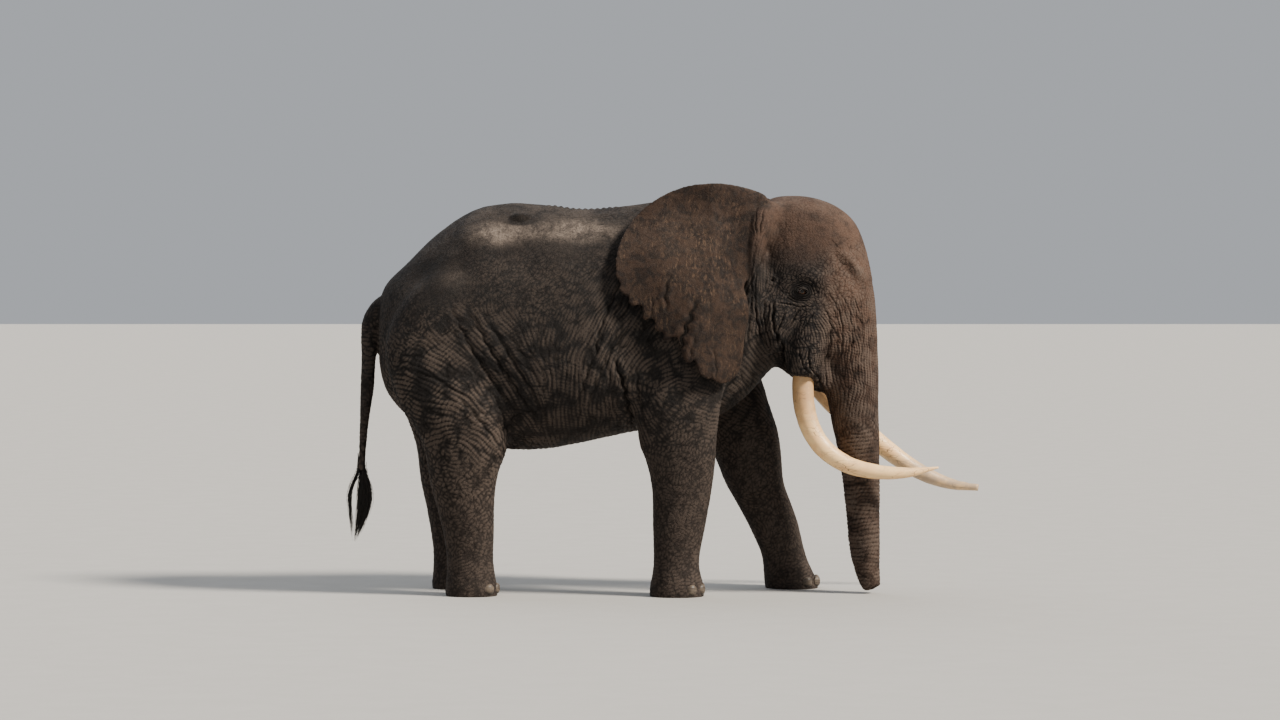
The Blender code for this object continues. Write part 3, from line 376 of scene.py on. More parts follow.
# folds of the head: x and z points on the side of the straight-ahead head, then in millimetres the half
# width, the depth, and how much the skin in front of the fold swells
HEAD_CREASES = (
    (((0.77, 3.17), (0.87, 3.02), (0.94, 2.89), (0.925, 2.75), (0.915, 2.59), (0.94, 2.36),
       (0.925, 2.13), (0.9, 1.9)), 20, 30, 10),
    (((1.02, 2.85), (0.985, 2.7), (0.98, 2.47), (0.96, 2.24), (0.95, 2.07), (1.04, 1.94)), 12, 14, 6),
    (((1.075, 2.78), (1.02, 2.61), (1.005, 2.415), (1.02, 2.24), (1.065, 2.09), (1.155, 1.975)), 11, 13, 5),
    (((1.08, 2.4), (1.075, 2.29), (1.1, 2.125), (1.155, 2.0)), 10, 11, 5),
    (((1.155, 2.39), (1.15, 2.24), (1.185, 2.1), (1.2, 2.01)), 13, 20, 9),
    (((1.26, 2.335), (1.2, 2.195), (1.18, 2.09)), 10, 12, 5),
    (((1.365, 2.345), (1.295, 2.23), (1.25, 2.17)), 10, 10, 5),
    (((1.5, 2.34), (1.42, 2.22), (1.34, 2.1)), 9, 6, 3),
    (((1.19, 2.39), (1.29, 2.375), (1.39, 2.355), (1.46, 2.385)), 8, 8, 4),
    (((1.22, 2.07), (1.22, 1.975), (1.2, 1.89)), 18, 32, 10),
    (((1.435, 2.03), (1.445, 1.89), (1.515, 1.755), (1.56, 1.63)), 11, 12, 5),
    (((1.365, 2.01), (1.39, 1.89), (1.47, 1.79)), 10, 10, 4),
    (((1.55, 2.38), (1.61, 2.22), (1.6, 2.05), (1.555, 1.89), (1.57, 1.72)), 13, 10, 5),
    (((1.6, 2.46), (1.68, 2.3), (1.7, 2.1), (1.665, 1.88)), 10, 8, 4),
    (((1.66, 2.5), (1.74, 2.36), (1.78, 2.15), (1.76, 1.88)), 10, 6, 3),
    (((1.76, 2.48), (1.83, 2.32), (1.86, 2.12), (1.84, 1.9)), 10, 6, 3),
    (((1.015, 3.17), (1.01, 3.05), (1.02, 2.93)), 10, 9, 4),
    (((1.075, 3.16), (1.055, 3.03), (1.045, 2.93)), 10, 8, 4),
    (((0.95, 3.15), (0.97, 3.04), (1.0, 2.93)), 10, 9, 4),
)
# the same on the side of the body
BODY_CREASES = (
    (((-0.17, 2.53), (-0.33, 2.15), (-0.35, 1.95)), 20, 18, 8),
    (((-0.205, 1.92), (-0.13, 1.72), (-0.06, 1.39)), 24, 34, 14),
    (((-0.02, 1.86), (-0.01, 1.66), (0.03, 1.46)), 16, 14, 10),
    (((-1.52, 2.34), (-1.36, 2.02), (-1.12, 1.66), (-0.92, 1.4)), 24, 16, 10),
    (((-1.36, 2.28), (-1.2, 2.0), (-0.98, 1.66), (-0.8, 1.36)), 24, 18, 10),
    (((-1.2, 2.2), (-1.04, 1.95), (-0.84, 1.62), (-0.72, 1.34)), 22, 14, 8),
    (((-0.28, 2.22), (-0.4, 1.9), (-0.52, 1.52)), 22, 13, 8),
    (((-0.12, 2.3), (-0.27, 1.95), (-0.42, 1.56)), 22, 14, 8),
    (((-1.62, 1.74), (-1.44, 1.6), (-1.22, 1.34), (-1.1, 1.16)), 18, 12, 6),
    (((-1.9, 1.86), (-1.7, 1.8), (-1.46, 1.66), (-1.24, 1.46)), 18, 10, 6),
)
# the same on the right ear, where folds run up from the tears
EAR_PLEATS = (
    (((0.31, 1.95), (0.34, 2.11), (0.4, 2.26), (0.45, 2.4)), 36, 18, 10),
    (((0.22, 2.33), (0.2, 2.46), (0.235, 2.6)), 20, 9, 6),
    (((0.62, 1.75), (0.61, 1.9), (0.59, 2.02)), 14, 8, 4),
    (((0.39, 1.89), (0.42, 2.05), (0.48, 2.18)), 18, 8, 5),
    (((0.08, 2.26), (0.1, 2.36), (0.09, 2.44)), 12, 6, 3),
)
# the temporal gland's mouth: x, z, half width and depth, then the height, half width and radius of its ring
GLAND = (1.135, 2.575, 0.01, 0.014, 0.006, 0.012, 0.034)
# z, and the x in front of which the animal is trunk; above that, between which x values the head begins
TRUNK_LINE, TRUNK_BLUR = ((0.0, 1.6), (1.2, 1.55), (1.9, 1.15), (2.2, 0.92)), 0.08
HEAD_ABOVE, HEAD_FROM = 2.1, (0.82, 0.98)
# x and z of the ridge between the brow and the trunk's root on the straight-ahead head
BROW = ((1.7, 2.81), (1.79, 2.71), (1.87, 2.57))
BROW_WIDE, BROW_HIGH, BROW_LOW = 0.036, 0.016, 0.02  # half width, height, and depth of the hollow under it
SPINE = (-0.75, -0.2, 0.05, 0.01)  # rear and front x, spacing and height of the backbone's bumps
MUD_LUMP = (-0.985, 3.09, 0.05, 0.026)  # x, z, reach and height of a lump of dried mud
# centre x and z, reaches along and up, and how dark both flanks are there, negative being paler: mud and
# dust, with painted shade in deep folds, painted highlight on the back and brow, and painted light on the
# far foreleg
STAINS_AND_PAINTED_LIGHT = (
    # pale patches on the back: dust and painted highlight
    (-1.18, 2.95, 0.28, 0.11, -0.5),
    (-0.51, 2.98, 0.38, 0.115, -0.52),
    # dust behind the hip, and the lump of mud
    (-1.5, 2.6, 0.24, 0.14, -0.2),
    (-0.985, 3.08, 0.085, 0.035, 2.0),
    # painted shade in deep folds: behind the elbow, before the thigh, where the foreleg meets the belly, at
    # the mouth's corner
    (-0.1, 1.65, 0.1, 0.22, 0.4),
    (-1.0, 1.42, 0.1, 0.14, 0.3),
    (0.2, 1.45, 0.16, 0.16, 0.4),
    (1.24, 2.03, 0.06, 0.12, 0.45),
    # the far foreleg: dust and painted light
    (0.92, 1.15, 0.16, 0.42, -0.17),
    (1.16, 0.45, 0.16, 0.42, -0.14),
    # the side of the brow: painted highlight
    (1.545, 2.505, 0.075, 0.06, -0.2),
)
FLANK_MARKS_FROM = (0.02, 0.2)  # distances from the middle plane between which these marks and the painted light and shade set in
# how much painted highlight the brow ridge gets, and how much painted shade the nostrils get
BROW_PAINTED_HIGHLIGHT, NOSTRIL_PAINTED_SHADE = 0.3, 1.5
FURROW_DARK = 0.012  # a fold of this depth gets the fullest painted shade and dirt of a furrow

# wrinkles: noise made of striped kernels that are strewn over the hide and lie across the folds
WAVE_ACROSS = 0.75  # a kernel's width in wavelengths
WAVE_COVER = 7.0  # how many kernels lie over each place
WAVE_REACH = 2.1  # how far out a kernel counts, in its lengths
WAVE_CELL, MOST_IN_RUN = 0.16, 6000  # the points are taken by cubes of space, and at most so many at once
ORDERED_WANDER, LOOSE_WANDER = 0.15, 1.1  # how far kernels turn off the lie: in deep folds, on smooth hide
LOOSE_LARGE, LOOSE_FINE = (0.0042, 0.0018), (0.0052, 0.003)  # the fold depths between which that changes
# the large, fine and crossing wrinkles: spacing in that of the fine ones, turn off the lie, seed of their
# random numbers, and a kernel's length in its widths
WRINKLES = ((1.65, 0, 11, 2.2), (1, 0, 23, 2.0), (0.8, math.radians(68), 37, 1.6))
LARGE_SOFT, FINE_SOFT, CROSS_SOFT = 0.45, 0.35, 0.3  # how blunt their valleys are
LARGE_GAIN, FINE_GAIN, CREASE_GAIN, CROSS_SHARE = 1.05, 1.75, 0.7, 0.55
LARGE_DARK, FINE_DARK, CROSS_DARK = 0.008, 0.0075, 0.6  # depths that get the fullest painted shade and dirt, and the crossing lines' share of it
CREST_SHARE, CREST_NOISE = (0.2, 0.65), (0.55, 1.6)  # between which a wrinkle's crest gets pale dust and painted highlight
LINE_WIDE, CROSS_LINE_WIDE = 0.2, 0.17  # how near 0 the noise is where a crease's line gets painted shade and dirt
EAR_SPACING, EAR_LARGE, EAR_FINE = 0.026, 0.0016, 0.0016
EAR_FRAY, EAR_TINT_BLUR = 0.007, 25

EYE_RADIUS = 0.038
EYE_PATCH, EYE_PATCH_DEEP = 0.2, 0.09  # reach of the lids' sculpting, and how far in of the eye it goes
EYE_CALM = (0.055, 0.11)  # distances from the eye between which the wrinkles set in
LID_FORE, LID_HIND, LID_UP, LID_DOWN = 0.0365, 0.0395, 0.02, 0.0225  # half axes of the opening
LID_THICK, LID_SLANT, LID_MELT, LID_REACH = 0.007, 0.12, 0.01, 0.11
LID_EDGE, LID_SHADE = (1.06, 0.9), (1.26, 1.06)  # in openings, where the skin drops and where it darkens
EYE_SET_BACK = 0.016  # the skin behind the opening lies this far inside the ball
HOOD, BAG = (0.007, 1.33, 0.2), (0.003, 1.25, 0.18)  # height, and place and width in openings
EYE_RING = (0.04, 0.03)  # half axes of the measure that the folds round the eye go by
EYE_FOLDS = ((1.42, 0.008), (1.92, 0.012), (2.5, 0.013), (3.2, 0.01))  # how far out, and depth
# the folds round the eye: width, how much painted shade they get, and where they end
EYE_FOLD_WIDE, EYE_FOLD_DARK, EYE_FOLDS_END = 0.075, 0.5, (0.15, 0.095)
NOSTRIL = (0.018, 0.05, 0.05)  # radius, distance from the middle, depth
SOFT_FLOOR = 0.01  # the soles flatten from this height down
SOLE_SUNK = 0.0016
# the skin's edges are cut in half on the head above this height, and within each distance of an eye
HEAD_REFINED_ABOVE, EYES_REFINED = 1.55, (0.17, 0.062)

# ---- the other pieces

CHART_GAP, PATCH = 0.05, 0.003  # on the map OFBake: metres between charts, and a hair's patch
CHART_CUTS, CHART_LEVEL = (-0.55, 1.15), 1.5  # x where the end charts are parted, z where top and bottom are
CHART_AXES = (0.8, 1.0, 0.8)  # the side charts take a face before the others
CORNEA_RISE, CORNEA_REACH = 0.06, 0.55
LASHES, LASH_LENGTH, LASH_THICK, LASH_SPAN = 34, 0.058, 0.0011, (-0.8, 0.85)  # the span in half lids
TAIL_HAIRS, HAIR_THICK = 620, 0.002
TAIL_END = -2.294  # x of the tail where the brush begins
TUSK_STEPS, TUSK_SIDES = 110, 48
NAIL_SUNK = 0.01
SIDE_HOLLOW = 0.014  # depth of the hollow on the worn tusk's upper side

# colours, linear
HIDE_DARK, HIDE_LIGHT = (0.01, 0.0093, 0.0093), (0.015, 0.0136, 0.0133)
HIDE_BROWN, HIDE_LEG = (0.0215, 0.016, 0.0135), (0.033, 0.0245, 0.02)
# the second: pale dust and painted highlight on the wrinkles' crests
HIDE_TRUNK, HIDE_RIDGE_DUST_AND_HIGHLIGHT = (0.098, 0.058, 0.041), (0.11, 0.083, 0.066)
# the first: dust, with painted highlight on tops and on the back; the second: mud, with painted shade in
# deep folds and nostrils
HIDE_DUST_AND_HIGHLIGHT, HIDE_MUD_AND_SHADE = (0.37, 0.295, 0.24), (0.008, 0.0065, 0.0055)
# the first: dirt and painted shade in creases and wrinkles; the second: painted shade at the lids
HIDE_FURROW_DIRT_AND_SHADE, LID_DARK = (0.0022, 0.0018, 0.0015), (0.006, 0.005, 0.0045)
EAR_BROWN, EAR_GREY, EAR_GOLD = (0.036, 0.0222, 0.016), (0.015, 0.011, 0.0094), (0.15, 0.095, 0.06)
IVORY_LIGHT, IVORY_TAN, IVORY_GREY = (1.0, 0.67, 0.32), (0.88, 0.53, 0.24), (0.42, 0.31, 0.21)
# the last: painted shade in the worn tusk's hollows
IVORY_ROOT, IVORY_CRACK, IVORY_HOLLOW = (0.34, 0.19, 0.09), (0.22, 0.125, 0.065), (0.02, 0.013, 0.009)
IRIS_DARK, IRIS_LIGHT, IRIS_RIM = (0.03, 0.013, 0.005), (0.09, 0.04, 0.014), (0.008, 0.004, 0.003)
PUPIL, EYE_WHITE, EYE_VEIN = (0.001, 0.001, 0.001), (0.06, 0.036, 0.026), (0.04, 0.012, 0.009)
NAIL_DARK, NAIL_LIGHT = (0.048, 0.036, 0.027), (0.12, 0.092, 0.066)
HAIR_BLACK, HAIR_BROWN = (0.005, 0.0042, 0.0036), (0.018, 0.012, 0.009)
FLOOR_LIGHT, FLOOR_SHADE, SKY = (0.42, 0.41, 0.39), (0.38, 0.37, 0.35), (0.86, 0.9, 0.96, 1)

SKY_STRENGTH, FLOOR_HALF = 0.5, 300.0
# name, direction that the light comes from, angle across in degrees, strength and tint
SUNS = (
    ("haze", (0.88, -0.4, 0.84), 12.0, 8.2, (1.0, 0.92, 0.81)),
    ("rear_sky", (-0.45, 0.6, 1.0), 60.0, 1.3, (0.93, 0.96, 1.0)),
)
CAMERA_AWAY, CAMERA_HEIGHT, CAMERA_LENS, CAMERA_DOWN, CAMERA_SIGHT = 30.0, 2.6, 102.3, 1.31, 200.0

# ---- small helpers


def read(items, name, width=1, kind=float):
    """One property of all of a mesh's items, as an array."""
    values = np.empty(len(items) * width, kind)
    items.foreach_get(name, values)
    return values.reshape(-1, width) if width > 1 else values


def points_of(mesh):
    return read(mesh.vertices, "co", 3)


def place(mesh, points):
    mesh.vertices.foreach_set("co", points.reshape(-1))
    mesh.update()


def moved(obj, change):
    """Passes the object's points through a function of arrays."""
    place(obj.data, change(points_of(obj.data)))
    return obj


def keep_fields(mesh, **fields):
    """Keeps arrays on the vertices, for the materials to read."""
    for name, values in fields.items():
        kept = mesh.attributes.new(name, "FLOAT", "POINT")
        kept.data.foreach_set("value", values.astype(np.float32))


def linked(name, data):
    obj = bpy.data.objects.new(name, data)
    bpy.context.collection.objects.link(obj)
    return obj


def released(name, body):
    """An object made of a bmesh, which is freed."""
    mesh = bpy.data.meshes.new(name)
    body.to_mesh(mesh)
    body.free()
    return linked(name, mesh)


def smooth(obj):
    obj.data.shade_smooth()
    return obj


def applied(obj):
    """The object with its modifiers made part of its mesh."""
    graph = bpy.context.evaluated_depsgraph_get()
    bpy.context.view_layer.update()
    mesh = bpy.data.meshes.new_from_object(obj.evaluated_get(graph))
    obj.modifiers.clear()
    obj.data = mesh
    return obj


def joined(name, objects):
    body = bmesh.new()
    for obj in objects:
        body.from_mesh(obj.data)
        bpy.data.objects.remove(obj)
    return released(name, body)


def melted(obj, voxel, rounds):
    """The object's bodies melted into one skin, which is then relaxed."""
    melt = obj.modifiers.new("melt", "REMESH")
    melt.mode = "VOXEL"
    melt.voxel_size = voxel
    relax = obj.modifiers.new("relax", "SMOOTH")
    relax.factor = 0.5
    relax.iterations = rounds
    return applied(obj)


def step(low, high, value):
    """Smoothly from 0 at low to 1 at high, whichever is the larger."""
    t = np.clip((value - low) / (high - low), 0, 1)
    return t * t * (3 - 2 * t)


def bell(value, width):
    """1 at 0, fading over a width to both sides."""
    return np.exp(-((value / width) ** 2))


def unit(vector):
    return vector / np.linalg.norm(vector)


def resampled(rows, count):
    """Rows of numbers read from a Catmull-Rom spline through them."""
    rows = np.array(rows, float)
    padded = np.vstack([2 * rows[0] - rows[1], rows, 2 * rows[-1] - rows[-2]])
    where = np.linspace(0, len(rows) - 1, count)
    start = np.minimum(where.astype(int), len(rows) - 2)
    t = (where - start)[:, None]
    a, b, c, d = (padded[start + k] for k in range(4))
    return 0.5 * (2 * b + (c - a) * t + (2 * a - 5 * b + 4 * c - d) * t**2 + (3 * b - 3 * c + d - a) * t**3)


def turn_head(points, back=False):
    """Points of the straight-ahead head where the turned head has them, or back again."""
    angle = HEAD_TURN if back else -HEAD_TURN
    c, s = math.cos(angle), math.sin(angle)
    points = np.asarray(points, float)
    x, y = points[..., 0] - HEAD_PIVOT[0], points[..., 1]
    return np.stack([HEAD_PIVOT[0] + c * x - s * y, s * x + c * y, points[..., 2]], axis=-1)


# ---- the bodies that the flesh is melted from


def circle(count):
    """Angles of equal steps all the way round."""
    return [2 * math.pi * k / count for k in range(count)]


def superellipse(angle, power):
    """The unit superellipse's cosine and sine sides at an angle."""
    c, s = math.cos(angle), math.sin(angle)
    return math.copysign(abs(c) ** (2 / power), c), math.copysign(abs(s) ** (2 / power), s)


def loft(name, rings):
    """A closed mesh through rings of equally many points, with a middle point on each end."""
    count, top = len(rings[0]), (len(rings) - 1) * len(rings[0])
    points = [tuple(p) for ring in rings for p in ring]
    points += [tuple(np.mean(rings[0], axis=0)), tuple(np.mean(rings[-1], axis=0))]
    first, last = len(points) - 2, len(points) - 1
    sides = [(j, (j + 1) % count) for j in range(count)]
    faces = [(i + j, i + k, i + count + k, i + count + j) for i in range(0, top, count) for j, k in sides]
    for j, k in sides:
        faces += [(k, j, first), (top + j, top + k, last)]
    mesh = bpy.data.meshes.new(name)
    mesh.from_pydata(points, [], faces)
    body = bmesh.new()
    body.from_mesh(mesh)
    bmesh.ops.recalc_face_normals(body, faces=body.faces)
    return released(name, body)


def tube(name, rows, sides=16):
    """A loft along a path: rows of x, y, z, radius in its bending plane and radius across it."""
    rows = np.array(rows, float)
    rings = []
    for row, way in zip(rows, np.gradient(rows[:, :3], axis=0)):
        way = Vector(way).normalized()
        across = (Vector((0.0, 1.0, 0.0)) - way * way.y).normalized()
        deep, wide = way.cross(across) * row[3], across * row[4]
        rings.append([Vector(row[:3]) + deep * math.cos(a) + wide * math.sin(a) for a in circle(sides)])
    return loft(name, rings)


def bent_tube(name, table, count, sides=16):
    """A tube in the middle plane through rows of x, z, half depth and half width."""
    return tube(name, [(x, 0.0, z, deep, wide) for x, z, deep, wide in resampled(table, count)], sides)


def round_tube(name, table, count, side):
    """A round tube through rows of x, y, z and radius, on one side of the body."""
    return tube(name, [(x, side * y, z, r, r) for x, y, z, r in resampled(table, count)])


def ellipsoid(name, centre=(0, 0, 0), radii=(1, 1, 1), tilt=0.0, detail=3):
    body = bmesh.new()
    bmesh.ops.create_icosphere(body, subdivisions=detail, radius=1.0)
    obj = released(name, body)
    turn = Matrix.Rotation(math.radians(tilt), 4, "Y")
    obj.data.transform(Matrix.Translation(centre) @ turn @ Matrix.Diagonal((*radii, 1.0)))
    return obj


def torso():
    rings = []
    for x, top, bottom, half, widest in resampled(TORSO, 60):
        ring = []
        for angle in circle(40):
            across, up = superellipse(angle, TORSO_POWER_UP if math.sin(angle) > 0 else TORSO_POWER_DOWN)
            height = top - widest if up > 0 else widest - bottom
            ring.append((x, half * across, widest + height * up))
        rings.append(ring)
    return loft("torso_body", rings)


def skull():
    rings = []
    for z, back, front, half, taper in resampled(SKULL, 30):
        middle, reach = (back + front) / 2, (front - back) / 2
        sides = [superellipse(angle, SKULL_POWER) for angle in circle(36)]
        rings.append([(middle + reach * u, half * (1 - taper * (u + 1) / 2) * v, z) for u, v in sides])
    return loft("skull_body", rings)


def leg(rows, side, stride):
    rings = []
    for z, x, long, y, wide in resampled(rows, 44):
        x += np.interp(z, *np.array(stride).T) if side == LEFT else 0.0
        sides = [superellipse(angle, LEG_POWER) for angle in circle(28)]
        rings.append([(x + long * u, side * y + wide * v, z) for u, v in sides])
    return loft("leg_body", rings)


def masses(table, side):
    return [ellipsoid(name, (x, side * y, z), radii, tilt) for name, (x, y, z), radii, tilt in table]


def push_forms(obj):
    """Raises and hollows the melted surface at the places that FORMS names."""
    points, normals = points_of(obj.data), read(obj.data.vertex_normals, "vector", 3)
    for x, y, z, reach, push in FORMS:
        for side in (RIGHT, LEFT):
            off = points - (x, side * y, z)
            weight = np.exp(-(off**2).sum(axis=1) / (reach * 0.6) ** 2 / 2)
            points += normals * (push * weight)[:, None]
    place(obj.data, points)


def coarse_flesh():
    """The same melted body as the CAD model's, before it is parted."""
    head = [skull(), bent_tube("trunk_body", TRUNK, 40, 24), bent_tube("jaw_body", JAW, 16)]
    head += [round_tube("sheath_body", SHEATH, 14, side) for side in (RIGHT, LEFT)]
    legs, muscles = [], []
    for side in (RIGHT, LEFT):
        head += [*masses(HEAD_MASSES, side), round_tube("ear_root", EAR_ROOT, 12, side)]
        muscles += masses(BODY_MASSES, side)
    for rows, stride in ((FORELEG, FORE_STRIDE), (HIND_LEG, HIND_STRIDE)):
        legs += [leg(rows, side, stride) for side in (RIGHT, LEFT)]
    for piece in head:
        moved(piece, turn_head)
    whole = melted(joined("flesh", [torso(), *head, *legs, *muscles]), COARSE_VOXEL, COARSE_ROUNDS)
    push_forms(whole)
    return whole


# ---- ears and tail


def ear_reach(angle, torn):
    """How far the ear's edge is from its centre, in directions in degrees, with or without the tears."""
    spots = [(math.atan2(z - EAR_CENTRE[1], x - EAR_CENTRE[0]), x, z) for x, z in EAR_EDGE]
    spots = sorted((math.degrees(way) % 360, math.dist(EAR_CENTRE, (x, z))) for way, x, z in spots)
    (first, start), (last, end) = spots[0], spots[-1]
    ways, reaches = np.array([(last - 360, end), *spots, (first + 360, start)]).T
    angle = np.asarray(angle, float)
    blur = ((-6, 0.1), (-3, 0.2), (0, 0.4), (3, 0.2), (6, 0.1))
    reach = sum(share * np.interp((angle + off) % 360, ways, reaches) for off, share in blur)
    if torn:
        for where, depth, before, after in EAR_TEARS:
            off = (angle - where + 180) % 360 - 180
            off = np.where(off < 0, -off / before, off / after)
            reach -= depth * np.maximum(0.0, 1 - off) ** 0.65
        frayed = step(150, 190, angle % 360) * step(296, 280, angle % 360)
        fray = np.sin(np.radians(angle * 97)) * np.sin(np.radians(angle * 61 + 40))
        fray = fray + 0.5 * np.sin(np.radians(angle * 143)) * np.sin(np.radians(angle * 41 + 10))
        reach += EAR_FRAY * frayed * fray
    return reach


def flank_of(whole, side):
    """The flesh's distance from the middle plane on one side, as a smooth function of x and z."""
    mesh = whole.data
    tree = BVHTree.FromPolygons([v.co for v in mesh.vertices], [p.vertices for p in mesh.polygons])
    lengths, heights = (np.arange(*ends, DRAPE_STEP) for ends in DRAPE_ENDS)
    reach = np.full((len(lengths), len(heights)), DRAPE_LEAST)
    for i, x in enumerate(lengths):
        for j, z in enumerate(heights):
            hit = tree.ray_cast(Vector((x, side * 3.0, z)), Vector((0.0, -side, 0.0)))[0]
            if hit:
                reach[i, j] = max(DRAPE_LEAST, side * hit.y)
    spread = np.pad(reach, 1, mode="edge")
    long, high = reach.shape
    reach = np.max([spread[a : a + long, b : b + high] for a in range(3) for b in range(3)], axis=0)
    for _ in range(DRAPE_SMOOTHING):
        spread = np.pad(reach, 1, mode="edge")
        around = spread[:-2, 1:-1] + spread[2:, 1:-1] + spread[1:-1, :-2] + spread[1:-1, 2:]
        reach = (around + 4 * reach) / 8

    def distance(x, z):
        u = np.clip((np.asarray(x) - lengths[0]) / DRAPE_STEP, 0, long - 1.001)
        v = np.clip((np.asarray(z) - heights[0]) / DRAPE_STEP, 0, high - 1.001)
        i, j = u.astype(int), v.astype(int)
        u, v = u - i, v - j
        near, far = (reach[k, j] * (1 - v) + reach[k, j + 1] * v for k in (i, i + 1))
        return near * (1 - u) + far * u

    return distance


def ear_shape(x, z, forward, flank):
    """How far out the middle of the ear's sheet lies, and how thick it is, at places of the right ear."""
    root = np.clip((x - 0.35) / 0.6, 0, 1)
    thick = EAR_THICK_EDGE + (EAR_THICK_ROOT - EAR_THICK_EDGE) * root
    rearward = np.clip((0.95 - x) / 1.1, 0, 1)
    ripple = EAR_RIPPLE * np.sin(9 * x + 2.2 * z) * rearward
    hung = np.clip((z - EAR_FREE_BELOW) / 0.25, 0, 1) * np.maximum(0.0, 1 - 3 * rearward)
    return flank(x + forward, z) + EAR_STAND_OFF + (EAR_SUNK - EAR_STAND_OFF) * hung + ripple, thick


def ear(side, flank):
    """A sheet that drapes over neck and shoulder, thick at the root, thin at the torn edge."""
    forward, drop = EAR_SHIFT[side]
    angles = np.arange(EAR_SPOKES) * 360 / EAR_SPOKES
    whole_reach, torn_reach = ear_reach(angles, torn=False), ear_reach(angles, torn=True)
    outer, inner = [], []
    for share in np.arange(1, EAR_RINGS + 1) / EAR_RINGS:
        reach = share * (whole_reach + (torn_reach - whole_reach) * step(0.8, 1.0, share))
        x = EAR_CENTRE[0] + reach * np.cos(np.radians(angles))
        z = EAR_CENTRE[1] + reach * np.sin(np.radians(angles)) - drop
        middle, thick = ear_shape(x, z, forward, flank)
        half = thick / 2 * math.sqrt(max(0.0, 1 - max(0.0, (share - 0.93) / 0.07) ** 2) * 0.75 + 0.25)
        outer.append(np.stack([x + forward, side * (middle + half), z], axis=1))
        inner.append(np.stack([x + forward, side * (middle - half), z], axis=1))
    return loft("ear", [*outer, *reversed(inner)])


def build_skin_base():
    """The flesh, ears and tail as one even mesh, and the distances that the ears drape by."""
    coarse = coarse_flesh()
    flanks = {side: flank_of(coarse, side) for side in (RIGHT, LEFT)}
    rounder = coarse.modifiers.new("rounder", "SUBSURF")
    rounder.levels = rounder.render_levels = 2
    applied(coarse)
    tail = tube("tail", [(x, 0.0, z, r, r) for x, z, r in resampled(TAIL, 60)], sides=20)
    whole = joined("skin", [coarse, tail, *(ear(side, flanks[side]) for side in (RIGHT, LEFT))])
    return melted(whole, FINE_VOXEL, FINE_ROUNDS), flanks


# ---- where on the animal a point is, and how its folds lie


def head_share(points):
    """How much a point belongs to the head and trunk, from 0 to 1."""
    x, _, z = points.T
    line = np.interp(z, *np.array(TRUNK_LINE).T)
    return np.where(z > HEAD_ABOVE, step(*HEAD_FROM, x), step(line - TRUNK_BLUR, line, x))


def lie_of_folds(table, x, z):
    """Lean of the creases as a doubled-angle pair, and the other columns, blended between the rows."""
    rows = np.array(table)
    gap = (x[:, None] - rows[:, 0]) ** 2 + (z[:, None] - rows[:, 1]) ** 2
    weight = 1 / (gap + FOLD_BLUR**2) ** 2
    weight /= weight.sum(axis=1, keepdims=True)
    twice = np.radians(rows[:, 2] * 2)
    sizes = (weight @ (rows[:, k] / 1000) for k in (3, 4, 5))
    return weight @ np.cos(twice), weight @ np.sin(twice), *sizes


def folds_at(points, turned):
    """Lean, spacing and depths of the folds at points of the hide."""
    x, y, z = points.T
    ahead = np.interp(z, *np.array(FORE_STRIDE).T) * (y > 0)
    ahead = ahead * step(*STRIDE_BELOW, z) * step(*STRIDE_FROM, x)
    body = lie_of_folds(BODY_FOLDS, x - ahead, z)
    head = lie_of_folds(HEAD_FOLDS, turned[:, 0], turned[:, 2])
    share = head_share(points)
    c, s, spacing, large, fine = (a * (1 - share) + b * share for a, b in zip(body, head))
    return np.arctan2(s, c) / 2, spacing, large, fine


def eye_frame(side):
    """The eyeball's centre, and forward, up and outward as rows."""
    low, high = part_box("eye_left" if side == LEFT else "eye_right")
    outward = unit(turn_head(np.array((0.3, side, 0.04)) + HEAD_PIVOT) - HEAD_PIVOT)
    up = unit(np.array((0.0, 0.0, 1.0)) - outward * outward[2])
    return np.array((low + high) / 2) + MIDDLE, np.stack([np.cross(outward, up) * side, up, outward])


def eye_distance(points):
    """How far each point is from the nearer eye."""
    return np.min([np.sqrt(((points - eye_frame(s)[0]) ** 2).sum(axis=1)) for s in (RIGHT, LEFT)], axis=0)


def ear_weight(points, flanks):
    """1 on the ears' sheets, 0 on the rest."""
    weight = np.zeros(len(points))
    for side in (RIGHT, LEFT):
        forward, drop = EAR_SHIFT[side]
        x, y, z = points.T
        near = np.nonzero((y * side > 0.1) & (z > 1.6) & (np.abs(x - 0.5) < 1.0))[0]
        x, y, z = x[near] - forward, side * y[near], z[near]
        angle = np.degrees(np.arctan2(z + drop - EAR_CENTRE[1], x - EAR_CENTRE[0]))
        share = np.hypot(x - EAR_CENTRE[0], z + drop - EAR_CENTRE[1]) / ear_reach(angle, torn=True)
        middle, thick = ear_shape(x, z, forward, flanks[side])
        sheet = step(thick / 2 + 0.035, thick / 2 + 0.012, np.abs(y - middle))
        weight[near] = np.maximum(weight[near], sheet * step(1.06, 1.0, share))
    return weight


def smoothed(values, edges, rounds):
    """A field on the vertices, averaged with the neighbours' round after round."""
    a, b = edges.T
    count = np.maximum(np.bincount(edges.reshape(-1), minlength=len(values)), 1)
    for _ in range(rounds):
        total = np.bincount(a, values[b], len(values)) + np.bincount(b, values[a], len(values))
        values = values + 0.5 * (total / count - values)
    return values


def refined(obj, chosen):
    """The mesh with the edges among the chosen points cut in half."""
    take = chosen(points_of(obj.data))[read(obj.data.edges, "vertices", 2, np.int64)].all(axis=1)
    body = bmesh.new()
    body.from_mesh(obj.data)
    body.edges.ensure_lookup_table()
    edges = [body.edges[i] for i in np.nonzero(take)[0]]
    bmesh.ops.subdivide_edges(body, edges=edges, cuts=1, use_grid_fill=True)
    body.to_mesh(obj.data)
    body.free()


# ---- wrinkles


